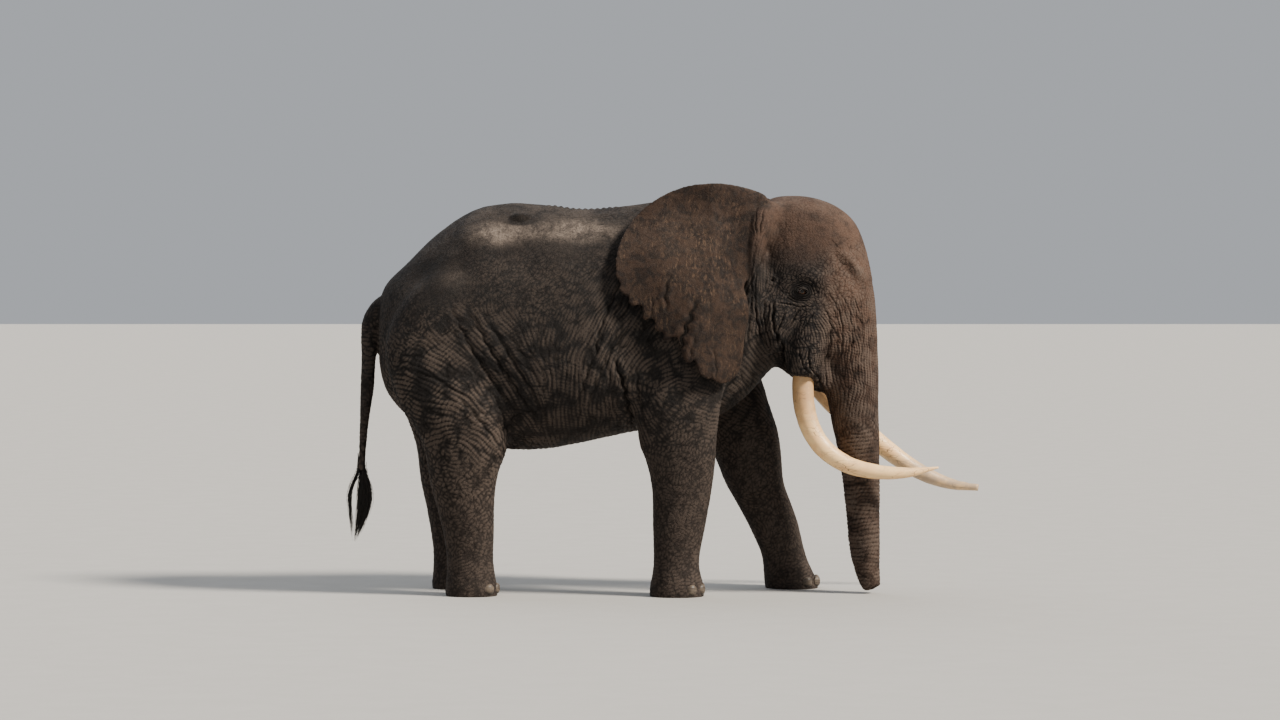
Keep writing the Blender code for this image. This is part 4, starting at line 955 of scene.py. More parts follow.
def in_cells(points):
    """The points' order by cube of space, and where each cube's run starts and ends in it."""
    cells = ((points - points.min(axis=0)) / WAVE_CELL).astype(np.int64)
    keys = (cells[:, 0] * 1000 + cells[:, 1]) * 1000 + cells[:, 2]
    order = np.argsort(keys, kind="stable")
    starts = np.unique(keys[order], return_index=True)[1]
    runs = []
    for start, end in zip(starts, [*starts[1:], len(points)]):
        cuts = [*range(start, end, MOST_IN_RUN), end]
        runs += list(zip(cuts, cuts[1:]))
    return order, runs


def fold_noise(points, normals, cells, area, spacing, lean, wander, seed, stretch):
    """Stripes across the lie of the folds: noise that is near 0 along forking lines, the creases."""
    draw = np.random.default_rng(seed)
    stretch = stretch + (1.0 - stretch) * wander / LOOSE_WANDER
    narrow, long = WAVE_ACROSS * 2 * spacing, WAVE_ACROSS * 2 * spacing * stretch
    chance = WAVE_COVER / (2 * math.pi * narrow * long) * area
    chosen = np.nonzero(draw.random(len(points)) < chance)[0]
    angle = lean[chosen] + draw.normal(0, 1, len(chosen)) * wander[chosen]
    phase = (draw.random(len(chosen)) * 2 * math.pi).astype(np.float32)
    centres, n = points[chosen], normals[chosen]
    along = np.stack([np.cos(angle), 0 * angle, np.sin(angle)], axis=1)
    up = np.stack([-np.sin(angle), 0 * angle, np.cos(angle)], axis=1)
    along -= n * (along * n).sum(axis=1, keepdims=True)
    up -= n * (up * n).sum(axis=1, keepdims=True)
    long_along, long_up = (np.linalg.norm(v, axis=1, keepdims=True) for v in (along, up))
    from_along = np.cross(n, along / np.maximum(long_along, 1e-6))
    across = np.where(long_along > long_up, from_along, up / np.maximum(long_up, 1e-6))
    sizes = np.stack([narrow, long, long], axis=1)[chosen]
    axes = np.stack([across, np.cross(across, n), n], axis=2) / sizes[:, None, :]
    turns = (math.pi / spacing[chosen] * sizes[:, 0]).astype(np.float32)
    order, runs = cells
    noise, power = np.zeros(len(points)), np.zeros(len(points))
    for start, end in runs:
        mine = order[start:end]
        spots = points[mine]
        middle = (spots.min(axis=0) + spots.max(axis=0)) / 2
        reach = WAVE_REACH * sizes[:, 1] + np.linalg.norm(spots - middle, axis=1).max()
        near = np.nonzero(((centres - middle) ** 2).sum(axis=1) < reach**2)[0]
        if not len(near):
            continue
        at = (centres[near] - middle)[:, None, :] @ axes[near]
        flat = axes[near].transpose(1, 0, 2).reshape(3, -1).astype(np.float32)
        off = ((spots - middle).astype(np.float32) @ flat).reshape(len(mine), len(near), 3)
        off = off - at[:, 0].astype(np.float32)
        weight = np.exp(-0.5 * (off * off).sum(axis=2))
        noise[mine] = (weight * np.cos(off[:, :, 0] * turns[near] + phase[near])).sum(axis=1)
        power[mine] = (weight * weight).sum(axis=1)
    return noise / np.sqrt(np.maximum(power, 0.05) / 2)


def creased(noise, soft):
    """A height with sharp valleys where the noise is near 0."""
    t = np.abs(noise)
    return t / (t + soft) - 0.6


# ---- sculpting: named folds, eyes and the rest


def distance_to(line, x, z):
    """Distance in the plane from a line of x and z points, and where along it from 0 to 1."""
    best, where = np.full(len(x), 1e9), np.zeros(len(x))
    lengths = np.linalg.norm(np.diff(line, axis=0), axis=1)
    run = np.concatenate([[0], np.cumsum(lengths)]) / lengths.sum()
    for i, ((ax, az), (bx, bz)) in enumerate(zip(line, line[1:])):
        dx, dz = bx - ax, bz - az
        t = np.clip(((x - ax) * dx + (z - az) * dz) / (dx * dx + dz * dz), 0, 1)
        d = np.hypot(x - ax - t * dx, z - az - t * dz)
        nearer = d < best
        best = np.where(nearer, d, best)
        where = np.where(nearer, run[i] + t * (run[i + 1] - run[i]), where)
    return best, where


def groove(lines, x, z, weight):
    """Height of named folds at places of the side view: a furrow with a swelling in front of it."""
    height = np.zeros(len(x))
    for line, *sizes in lines:
        width, depth, swell = (size / 1000 for size in sizes)
        curve = resampled(line, 4 * len(line))
        low, high = curve.min(axis=0) - 5 * width, curve.max(axis=0) + 5 * width
        near = np.nonzero((x > low[0]) & (x < high[0]) & (z > low[1]) & (z < high[1]) & (weight > 0))[0]
        if not len(near):
            continue
        wobble = 0.35 * width * np.sin(z[near] * 61 + 3 * x[near] + len(line))
        far, where = distance_to(curve, x[near] + wobble, z[near])
        fade = np.sin(math.pi * np.clip(where * 0.94 + 0.03, 0, 1)) ** 0.45 * weight[near]
        furrow = -depth / (1 + (far / (0.55 * width)) ** 2) ** 1.5
        height[near] += (furrow + swell * bell(far - 1.7 * width, width)) * fade
    return height


def gland(turned):
    """The temporal gland's mouth: a pit with a raised ring."""
    x, z, width, depth, rise, blur, ring = GLAND
    far = np.hypot(turned[:, 0] - x, turned[:, 2] - z)
    return -depth * bell(far, width) + rise * bell(far - ring, blur)


def back_bumps(points):
    """The row of the backbone's bumps, and a lump of dried mud beside it."""
    rear, front, gap, high = SPINE
    x, y, z = points.T
    window = step(rear - 0.05, rear + 0.05, x) * step(front + 0.05, front - 0.05, x) * (z > 2.5)
    bumps = high * window * bell(y, 0.06) * (0.5 + 0.5 * np.cos(2 * math.pi * (x - rear) / gap))
    x0, z0, reach, rise = MUD_LUMP
    far = ((x - x0) / 1.6) ** 2 + (z - z0) ** 2
    return bumps + rise * np.exp(-far / reach**2 * 2) * (y < 0)


def brow_ridge(turned):
    """Where the ridge on each side of the trunk's root is, and the hollow below it."""
    x, _, z = turned.T
    far, where = distance_to(resampled(BROW, 12), x, z)
    fade = np.sin(math.pi * np.clip(where * 0.9 + 0.05, 0, 1)) ** 0.5
    (ax, az), (bx, bz) = BROW[:2]
    below = (x - ax) * (bz - az) - (z - az) * (bx - ax) > 0
    return bell(far, BROW_WIDE) * fade, bell(far - 2 * BROW_WIDE, BROW_WIDE) * fade * below


def open_nostrils(points, normals, turned):
    """Two dents in the trunk's tip, and how much painted shade each point gets for them."""
    radius, apart, depth = NOSTRIL
    x, z = TRUNK[-1][:2]
    far = np.hypot(turned[:, 0] - x, np.abs(turned[:, 1]) - apart)
    share = bell(far, radius) * (normals[:, 2] < -0.2) * (np.abs(turned[:, 2] - z) < 0.12)
    points[:, 2] += depth * share
    return share


def opening_share(u, v):
    """How far out of the eye's opening a place is, in openings: 1 on the lids' edge."""
    wide, high = np.where(u > 0, LID_FORE, LID_HIND), np.where(v > 0, LID_UP, LID_DOWN)
    return np.sqrt((u / wide) ** 2 + ((v + LID_SLANT * u) / high) ** 2)


def sculpt_eye(points, side):
    """Lids over the eyeball with an opening between them, and folds round them: how much painted shade the
    lids get, how folded.
    """
    centre, axes = eye_frame(side)
    near = np.nonzero(((points - centre) ** 2).sum(axis=1) < EYE_PATCH**2)[0]
    u, v, w = ((points[near] - centre) @ axes.T).T
    keep = w > -EYE_PATCH_DEEP
    near, u, v, w = near[keep], u[keep], v[keep], w[keep]
    share, flat, way = opening_share(u, v), np.hypot(u, v), np.arctan2(v, u)
    shell = EYE_RADIUS + LID_THICK
    ball = np.sqrt(np.maximum(shell**2 - np.minimum(flat, shell) ** 2, 0))
    lid = ball - 0.9 * np.maximum(flat - 0.86 * shell, 0)
    lifted = np.where(flat < LID_REACH, np.logaddexp(w / LID_MELT, lid / LID_MELT) * LID_MELT, w)
    rolled = np.zeros(len(near))
    uneven = 1 + 0.07 * np.sin(3 * way + 1.0) + 0.03 * np.sin(7 * way)
    ring = np.hypot(u / EYE_RING[0], v / EYE_RING[1]) * uneven
    for out, depth in EYE_FOLDS:
        broken = 0.62 + 0.38 * np.sin(2 * way + 2.3 * out)
        fold = bell(ring - out, EYE_FOLD_WIDE * out) * step(*EYE_FOLDS_END, flat) * broken
        lifted -= depth * fold
        rolled = np.maximum(rolled, fold)
    above, below = step(-0.2, 0.5, v / LID_UP), step(0.2, -0.5, v / LID_UP)
    for (height, out, width), half in ((HOOD, above), (BAG, below)):
        lifted += height * bell(share - out, width) * half
    inside = step(*LID_EDGE, share)
    lifted = lifted * (1 - inside) + (EYE_RADIUS - EYE_SET_BACK) * inside
    points[near] += axes[2] * (lifted - w)[:, None]
    dark, folded = np.zeros(len(points)), np.zeros(len(points))
    dark[near], folded[near] = step(*LID_SHADE, share), rolled
    return dark, folded


def stains(points):
    """How dark or pale the flanks are: mud and dust, with painted shade in deep folds, painted highlight on
    the back and brow, and painted light on the far foreleg.
    """
    x, y, z = points.T
    total = np.zeros(len(points))
    for x0, z0, along, up, amount in STAINS_AND_PAINTED_LIGHT:
        total += amount * np.exp(-(((x - x0) / along) ** 2) - ((z - z0) / up) ** 2)
    return total * step(*FLANK_MARKS_FROM, np.abs(y))


def vertex_areas(mesh):
    """The area of hide that each vertex stands for."""
    totals = read(mesh.polygons, "loop_total", kind=np.int64)
    shares = np.repeat(read(mesh.polygons, "area") / totals, totals)
    corners = read(mesh.loops, "vertex_index", kind=np.int64)
    return np.bincount(corners, weights=shares, minlength=len(mesh.vertices))


def sculpt_skin(mesh, flanks):
    """Folds, wrinkles and eyes as real shape, with what the hide's colours need kept as attributes."""
    points, normals = points_of(mesh), read(mesh.vertex_normals, "vector", 3)
    turned, smooth_normals, area = turn_head(points, back=True), normals, vertex_areas(mesh)
    ears, head, calm = ear_weight(points, flanks), head_share(points), step(*EYE_CALM, eye_distance(points))
    bare = 1 - ears

    lean, spacing, large, fine = folds_at(points, turned)
    spacing = spacing * bare + EAR_SPACING * ears
    loose = step(*LOOSE_LARGE, large) * step(*LOOSE_FINE, fine)
    wander, grid = ORDERED_WANDER + (LOOSE_WANDER - ORDERED_WANDER) * loose, in_cells(points)

    noise_large, noise_fine, noise_cross = (
        fold_noise(points, normals, grid, area, spacing * size, lean + turn, wander, seed, stretch)
        for size, turn, seed, stretch in WRINKLES
    )
    large = LARGE_GAIN * large * bare + EAR_LARGE * ears
    fine = FINE_GAIN * fine * bare + EAR_FINE * ears

    outward = normals[:, 1] * np.sign(points[:, 1])
    outer, sideways = step(0.05, 0.35, outward), step(-0.1, 0.1, outward)
    height = groove(HEAD_CREASES, turned[:, 0], turned[:, 2], outer * head * (1 - 0.8 * ears))
    height += CREASE_GAIN * groove(BODY_CREASES, points[:, 0], points[:, 2], outer * bare * (1 - head))
    ahead, drop = (np.where(points[:, 1] > 0, shift, 0.0) for shift in EAR_SHIFT[LEFT])
    height += groove(EAR_PLEATS, points[:, 0] - ahead, points[:, 2] + drop, ears)
    height += back_bumps(points) + gland(turned) * outer * head
    # painted shade and dirt in the named folds' furrows
    furrow = np.clip(-height / FURROW_DARK, 0, 1)
    brow, hollow = (part * sideways * head for part in brow_ridge(turned))
    height += BROW_HIGH * brow - BROW_LOW * hollow + large * creased(noise_large, LARGE_SOFT) * calm
    points = points + normals * height[:, None]
    place(mesh, points)
    normals = read(mesh.vertex_normals, "vector", 3)
    fine_height = fine * creased(noise_fine, FINE_SOFT)
    fine_height += CROSS_SHARE * fine * creased(noise_cross, CROSS_SOFT)
    points += normals * (fine_height * calm)[:, None]

    # painted shade and dirt along the folds and wrinkle lines; pale dust and painted highlight on the crests
    crease = np.maximum(furrow, np.clip(large / LARGE_DARK, 0, 1) * bell(noise_large, LINE_WIDE))
    share = np.clip(fine / FINE_DARK, 0, 1) ** 0.7 * calm
    lines = np.maximum(bell(noise_fine, LINE_WIDE), CROSS_DARK * bell(noise_cross, CROSS_LINE_WIDE))
    crests = step(*CREST_NOISE, np.abs(noise_fine) + 0.5 * np.abs(noise_cross) - 0.25)
    lids = np.zeros(len(points))
    # painted shade at the lids and in the folds round the eyes
    for side in (RIGHT, LEFT):
        dark, folded = sculpt_eye(points, side)
        lids, crease = np.maximum(lids, dark), np.maximum(crease, EYE_FOLD_DARK * folded)
    nostrils = open_nostrils(points, normals, turn_head(points, back=True))
    z = points[:, 2]
    points[:, 2] = np.maximum((z + np.sqrt(z**2 + SOFT_FLOOR**2)) / 2 - SOLE_SUNK, 0.0)
    place(mesh, points)
    keep_fields(
        mesh, crease=crease, wrinkle=share * lines, head=head, lids=lids,
        ridge=share * step(*CREST_SHARE, share) * crests * bare * calm,
        ear=smoothed(ears, read(mesh.edges, "vertices", 2, np.int64), EAR_TINT_BLUR),
        # mud and dust, painted shade in deep folds and nostrils, painted highlight on the back and brow,
        # painted light on the far foreleg
        stain=stains(points) * bare - BROW_PAINTED_HIGHLIGHT * brow + NOSTRIL_PAINTED_SHADE * nostrils,
    )
    return smooth_normals, ears


# ---- the map that the colours are baked on


def unwrap_skin(mesh, normals, ears):
    """OFBake: each part of the hide laid flat along the axis it faces, the charts packed side by side."""
    points = points_of(mesh)
    corners = read(mesh.loops, "vertex_index", kind=np.int64)
    totals = read(mesh.polygons, "loop_total", kind=np.int64)
    face_of = np.repeat(np.arange(len(totals)), totals)

    def mean(values):
        return np.bincount(face_of, weights=values[corners], minlength=len(totals)) / totals

    way = np.stack([mean(normals[:, k]) for k in range(3)], axis=1)
    x, y, z = (mean(points[:, k]) for k in range(3))
    axis = np.argmax(np.abs(way) * CHART_AXES, axis=1)
    front = np.take_along_axis(way, axis[:, None], axis=1)[:, 0] > 0
    zone = np.where(axis == 0, np.digitize(x, CHART_CUTS), np.where(axis == 1, y > 0, z > CHART_LEVEL))
    key = ((axis * 2 + front) * 4 + zone) * 2 + (mean(ears) > 0.5)
    boxes = []
    for number in np.unique(key):
        mine = np.nonzero((key == number)[face_of])[0]
        flat = points[corners[mine]][:, ((1, 2), (0, 2), (0, 1))[number // 16]]
        low = flat.min(axis=0)
        size = flat.max(axis=0) - low
        if size[1] > size[0]:
            flat, low, size = flat[:, ::-1], low[::-1], size[::-1]
        boxes.append((size[1], size[0], mine, flat - low))
    boxes.sort(key=lambda item: -item[0])
    wide = math.sqrt(sum(high * long for high, long, _, _ in boxes)) * 1.12
    uv = np.zeros((len(corners), 2))
    x, y, shelf, used = 0.0, 0.0, 0.0, 0.0
    for high, long, mine, flat in boxes:
        if x > 0 and x + long > wide:
            x, y, shelf = 0.0, y + shelf + CHART_GAP, 0.0
        uv[mine] = flat + (x, y)
        x += long + CHART_GAP
        used, shelf = max(used, x), max(shelf, high)
    layer = mesh.uv_layers.new(name="OFBake")
    layer.data.foreach_set("uv", (uv / max(used, y + shelf)).astype(np.float32).reshape(-1))

# ---- the pieces that aren't hide


def eyeball(side, word):
    """A ball with a clear bulge in front of the pupil."""
    centre, axes = eye_frame(side)
    obj = ellipsoid(f"eyeball_{word}", detail=6)
    ball = points_of(obj.data)
    bulge = CORNEA_RISE * bell(np.arccos(np.clip(ball[:, 2], -1, 1)), CORNEA_REACH)
    ball = ball * (EYE_RADIUS * (1 + bulge))[:, None]
    polar = np.arccos(np.clip(ball[:, 2] / EYE_RADIUS, -1, 1))
    keep_fields(obj.data, polar=polar, around=np.arctan2(ball[:, 0], ball[:, 1]))
    place(obj.data, ball @ axes + centre)
    return smooth(obj)


def strands(name, routes):
    """Tapered three-sided hairs as one mesh, each with a patch of OFBake: rows of x, y, z and radius."""
    body = bmesh.new()
    layer = body.loops.layers.uv.new("OFBake")
    columns = math.ceil(math.sqrt(len(routes)))
    sides = ((0, 1), (1, 2), (2, 0))
    for number, rows in enumerate(routes):
        way = Vector(rows[-1][:3]) - Vector(rows[0][:3])
        across = way.orthogonal().normalized()
        other = way.normalized().cross(across)
        offs = [across * math.cos(angle) + other * math.sin(angle) for angle in circle(3)]
        rings = [[body.verts.new(Vector(row[:3]) + off * row[3]) for off in offs] for row in rows[:-1]]
        tip = body.verts.new(rows[-1][:3])
        faces = [body.faces.new(reversed(rings[0]))]
        for low, high in zip(rings, rings[1:]):
            faces += [body.faces.new((low[k], low[m], high[m], high[k])) for k, m in sides]
        faces += [body.faces.new((rings[-1][k], rings[-1][m], tip)) for k, m in sides]
        u, v = (number % columns + 0.5) / columns, (number // columns + 0.5) / columns
        for face in faces:
            face.smooth = True
            for loop, (du, dv) in zip(face.loops, ((0, 0), (1, 0), (1, 1), (0, 1))):
                loop[layer].uv = (u + du * PATCH, v + dv * PATCH)
    return released(name, body)


def lashes(side, word):
    """The upper lid's lashes, which droop outward over the eye."""
    draw = np.random.default_rng(5 + side)
    centre, axes = eye_frame(side)
    routes = []
    for across in np.linspace(*LASH_SPAN, LASHES):
        u = across * (LID_FORE if across > 0 else LID_HIND)
        v = LID_UP * math.sqrt(1 - across**2) - LID_SLANT * u + 0.002
        w = math.sqrt(max((EYE_RADIUS + LID_THICK) ** 2 - u * u - v * v, 0)) + 0.004
        length = draw.uniform(0.75, 1.1) * LASH_LENGTH
        fan = across * 0.5 + draw.normal(0, 0.1)
        rows = []
        for t in np.linspace(0, 1, 6):
            out = length * (t - 0.22 * t * t)
            drop = length * 0.62 * t * t
            spot = centre + np.array((u + fan * length * t, v + 0.18 * out - drop, w + 0.72 * out)) @ axes
            rows.append((*spot, LASH_THICK * (1 - t) + 0.0001))
        routes.append(rows)
    return strands(f"eyelashes_{word}", routes)


def tail_hair():
    """Stiff black hairs in two rows along the tail's end, open like a flat brush."""
    draw = np.random.default_rng(71)
    path = resampled([(z, x, wide, thick) for z, x, wide, thick in BRUSH], 60)
    top, bottom = BRUSH[0][0], BRUSH[-1][0]
    routes = []
    for number in range(TAIL_HAIRS):
        start = draw.uniform(0, 1) ** 1.4 * 0.52
        on_tail = number % 3 == 0
        root_z = top + (0.16 * draw.uniform(0, 1) if on_tail else 0.02 - 0.02 * draw.uniform(0, 1))
        edge = draw.uniform(-1.0, -0.8) if number % 9 == 0 else draw.uniform(-0.1, 1.0)
        deep = draw.normal(0, 0.45)
        end_z = top - (top - bottom) * (1 - start) * draw.uniform(0.8, 1.0)
        bend, wave = draw.normal(0, 0.01), draw.uniform(0, 6.3)
        rows = []
        for t in np.linspace(0, 1, 9):
            z = root_z + (end_z - root_z) * t
            spread = min(1.0, t * 3.2)
            _, middle, wide, thick = path[np.argmin(np.abs(path[:, 0] - min(z, top)))]
            if z > 1.0:
                middle = np.interp(z, [1.0, 1.12], [middle, TAIL_END])
            x = middle + edge * (0.024 * (1 - spread) + 0.92 * wide * spread)
            x += bend * math.sin(4 * t + wave)
            y = deep * (0.018 * (1 - spread) + 0.8 * thick * spread)
            rows.append((x, y, z, HAIR_THICK * (1 - 0.6 * t)))
        routes.append(rows)
    return strands("tail_hair", routes)


def fine_tusk(side, table, worn, word):
    """The tusk with fine rings, slightly uneven, and a hollow chipped tip on the worn one."""
    rows = resampled(table, TUSK_STEPS) * (1, side, 1, 1)
    run = np.linspace(0, 1, len(rows))
    uneven = 1 + 0.01 * np.sin(run * 41) * np.sin(run * 17) + 0.006 * np.sin(run * 97)
    rings = [(x, y, z, r * k, r * k) for (x, y, z, r), k in zip(rows, uneven)]
    obj = tube(f"tusk_ivory_{word}", rings, TUSK_SIDES)
    if worn:
        tip = rows[-1, :3]
        way = unit(tip - rows[-4, :3])
        up = unit(np.array((0.0, 0.0, 1.0)) - way * way[2])
        points = points_of(obj.data)
        along = (points - tip) @ way
        off = points - tip - along[:, None] * way
        aside, high = np.linalg.norm(off, axis=1), off @ up
        end = step(0.017, 0.006, aside) * step(-0.012, -0.002, along)
        ragged = 0.006 * np.sin(along * 260) + 0.004 * np.sin(along * 610)
        chipped = step(0.016, 0.009, np.sqrt(np.maximum(aside**2 - high**2, 0)) + ragged) * (high > 0)
        chipped *= step(-0.2, -0.18, along) * step(-0.035, -0.05, along)
        points -= way * (WORN_TIP_HOLLOW * end)[:, None] + up * (SIDE_HOLLOW * chipped)[:, None]
        place(obj.data, points)
        keep_fields(obj.data, hollow=np.maximum(chipped, end), worn=np.ones(len(points)))
    return smooth(obj)


def nail(x, y, long, wide, degrees):
    """A toenail: a domed plate with growth ridges, a worn lower edge and its back sunk in the foot."""
    way = math.radians(degrees)
    reach = 1 / math.hypot(math.cos(way) / long, math.sin(way) / wide) - NAIL_SUNK
    thick, across, high = NAIL_SIZE
    obj = ellipsoid("nail", detail=5)
    out, aside, up = points_of(obj.data).T
    tall = np.sign(up) * np.abs(up) ** 0.8
    edge = 1 - 0.14 * np.maximum(up, 0) ** 2
    ridges = 0.01 * (np.sin(up * 21 + 2 * aside) + np.sin(up * 47 + 3 * aside))
    domed = out * (1 + ridges * (out > 0)) - 0.45 * aside**2 * (out > 0)
    place(obj.data, np.stack([domed * thick, aside * across * edge, tall * high], axis=1))
    turn = Matrix.Rotation(way, 4, "Z") @ Matrix.Translation((reach, 0.0, 0.0))
    obj.data.transform(Matrix.Translation((x, y, high + NAIL_LIFT)) @ turn)
    return obj


def nails():
    """The toenails of all four feet, as one piece."""
    plates = []
    for rows, ways, stride in ((FORELEG, FORE_NAILS, FORE_STRIDE), (HIND_LEG, HIND_NAILS, HIND_STRIDE)):
        _, x, long, y, wide = rows[1]
        for side, ahead in ((RIGHT, 0.0), (LEFT, stride[0][1])):
            plates += [nail(x + ahead, side * y, long, wide, degrees) for degrees in ways]
    return smooth(joined("toenails", plates))


# ---- materials


class Material:
    """A Principled material whose colour is laid on coat by coat, with short ways to add nodes."""

    def __init__(self, name, specular, roughness=0.6):
        self.kept = bpy.data.materials.new(name)
        self.kept.use_nodes = True
        self.tree = self.kept.node_tree
        self.shader = self.tree.nodes["Principled BSDF"]
        self.shade(**{"Roughness": roughness, "Specular IOR Level": specular})
        self.place = self.add("ShaderNodeTexCoord").outputs["Object"]
        self.colour = None

    def shade(self, **values):
        """Sets or wires inputs of the shader."""
        for key, value in values.items():
            self.feed(self.shader.inputs[key], value)

    def feed(self, socket, value):
        if isinstance(value, bpy.types.NodeSocket):
            self.tree.links.new(value, socket)
        else:
            socket.default_value = (*value, 1) if socket.type == "RGBA" else value

    def add(self, kind, inputs=None, **settings):
        node = self.tree.nodes.new(kind)
        for key, value in settings.items():
            setattr(node, key, value)
        for key, value in (inputs or {}).items():
            self.feed(node.inputs[key], value)
        return node

    def field(self, name):
        return self.add("ShaderNodeAttribute", attribute_name=name).outputs["Fac"]

    def noise(self, scale, detail=3.0, roughness=0.55, distortion=0.0, place=None):
        values = {"Vector": place or self.place, "Scale": scale, "Detail": detail}
        node = self.add("ShaderNodeTexNoise", {**values, "Roughness": roughness, "Distortion": distortion})
        return node.outputs["Fac"]

    def cracks(self, scale, place):
        values = {"Vector": place, "Scale": scale}
        return self.add("ShaderNodeTexVoronoi", values, feature="DISTANCE_TO_EDGE").outputs["Distance"]

    def span(self, value, low, high, to_low=0.0, to_high=1.0):
        values = {"Value": value, "From Min": low, "From Max": high, "To Min": to_low, "To Max": to_high}
        return self.add("ShaderNodeMapRange", values, interpolation_type="SMOOTHSTEP").outputs["Result"]

    def spots(self, noise, *span):
        return self.span(self.noise(*noise), *span)

    def math(self, operation, a, b):
        return self.add("ShaderNodeMath", {0: a, 1: b}, operation=operation).outputs[0]

    def times(self, first, *factors):
        for factor in factors:
            first = self.math("MULTIPLY", first, factor)
        return first

    def most(self, a, b):
        return self.math("MAXIMUM", a, b)

    def mix(self, share, a, b):
        return self.add("ShaderNodeMix", {0: share, 6: a, 7: b}, data_type="RGBA").outputs[2]

    def coat(self, share, colour):
        self.colour = self.mix(share, self.colour, colour)

    def split(self, vector):
        return self.add("ShaderNodeSeparateXYZ", {"Vector": vector}).outputs

    def stretched(self, scale, turn=(0.0, 0.0, 0.0)):
        values = {"Vector": self.place, "Scale": scale, "Rotation": turn}
        return self.add("ShaderNodeMapping", values).outputs["Vector"]

    def finish(self, roughness=None, height=None, depth=0.001, strength=1.0):
        """Wires the colour to the shader, and the roughness and the bump where they are given."""
        self.shade(**{"Base Color": self.colour})
        if roughness is not None:
            self.shade(Roughness=roughness)
        if height is not None:
            bump = self.add("ShaderNodeBump", {"Height": height, "Distance": depth, "Strength": strength})
            self.shade(Normal=bump.outputs["Normal"])
        return self.kept


def hide_material():
    """Grey hide: pale dust and painted highlight on ridges, tops, back and brow, dirt and painted shade in
    furrows, browner ears, trunk and legs, mud, and painted shade in deep folds, nostrils and lids.
    """
    m = Material("elephant_hide", specular=0.1)
    stain, grain = m.field("stain"), m.noise(70.0, 4, 0.65)
    x, _, z = m.split(m.place)
    m.colour = m.mix(m.spots((1.3, 5, 0.62, 0.6), 0.28, 0.72), HIDE_DARK, HIDE_LIGHT)
    m.coat(m.times(m.spots((6.0, 5, 0.6), 0.35, 0.68), 0.3), HIDE_BROWN)
    m.coat(m.times(m.span(z, 1.9, 0.7), 0.55), HIDE_LEG)
    brown = m.most(m.span(x, 1.18, 1.42), m.times(m.span(z, 2.62, 2.92), 0.75))
    brown = m.times(brown, m.spots((9.0, 5, 0.7), 0.3, 0.62, 0.35, 0.9), m.span(z, 1.2, 2.6, 0.4, 1.0))
    m.coat(m.times(m.field("head"), brown), HIDE_TRUNK)
    mottle = m.mix(m.spots((11.0, 5, 0.65, 0.8), 0.38, 0.62), EAR_BROWN, EAR_GREY)
    streaks = m.stretched((1.5, 1.0, 0.45), (0.0, 0.25, 0.0))
    flecks = m.times(m.spots((30.0, 5, 0.75, 0.6, streaks), 0.5, 0.68), m.spots((2.6,), 0.4, 0.62), 0.5)
    m.coat(m.times(m.field("ear"), 0.95), m.mix(flecks, mottle, EAR_GOLD))
    upward = m.split(m.add("ShaderNodeNewGeometry").outputs["Normal"])[2]
    # dust and painted highlight on tops and on the pale patches
    dust_and_top_highlight = m.times(m.span(upward, 0.25, 0.95), m.spots((4.0, 5, 0.7), 0.35, 0.65), 0.11)
    strewn = m.times(m.span(stain, -0.05, -0.6), m.spots((7.0, 6, 0.75, 0.5), 0.34, 0.66, 0.12, 0.62))
    m.coat(m.times(m.most(dust_and_top_highlight, strewn), m.span(grain, 0.3, 0.6, 0.45, 1.0)), HIDE_DUST_AND_HIGHLIGHT)
    # mud, and painted shade in deep folds and nostrils
    m.coat(m.span(stain, 0.2, 1.0), HIDE_MUD_AND_SHADE)
    # pale dust and painted highlight on the crests
    m.coat(m.times(m.field("ridge"), m.spots((5.0, 5, 0.65), 0.3, 0.65, 0.4, 0.6)), HIDE_RIDGE_DUST_AND_HIGHLIGHT)
    # painted shade and dirt in furrows and crease lines
    m.coat(m.most(m.times(m.field("crease"), 0.92), m.times(m.field("wrinkle"), 0.8)), HIDE_FURROW_DIRT_AND_SHADE)
    m.coat(m.times(m.span(grain, 0.5, 0.7), 0.03), HIDE_DUST_AND_HIGHLIGHT)
    # painted shade at the lids
    m.coat(m.field("lids"), LID_DARK)
    wobble = m.add("ShaderNodeTexNoise", {"Vector": m.place, "Scale": 25.0, "Detail": 2.0}).outputs["Color"]
    small = m.add("ShaderNodeVectorMath", {0: wobble, "Scale": 0.02}, operation="SCALE").outputs[0]
    warped = m.add("ShaderNodeVectorMath", {0: m.place, 1: small}, operation="ADD").outputs[0]
    crackle = m.times(m.span(m.cracks(62.0, warped), 0.0, 0.22), 0.7)
    fine = m.times(m.span(m.cracks(150.0, warped), 0.0, 0.25), 0.3)
    height = m.math("ADD", m.math("ADD", crackle, fine), m.times(grain, 0.5))
    return m.finish(m.spots((30.0,), 0.3, 0.7, 0.66, 0.86), height, depth=0.0022, strength=0.75)


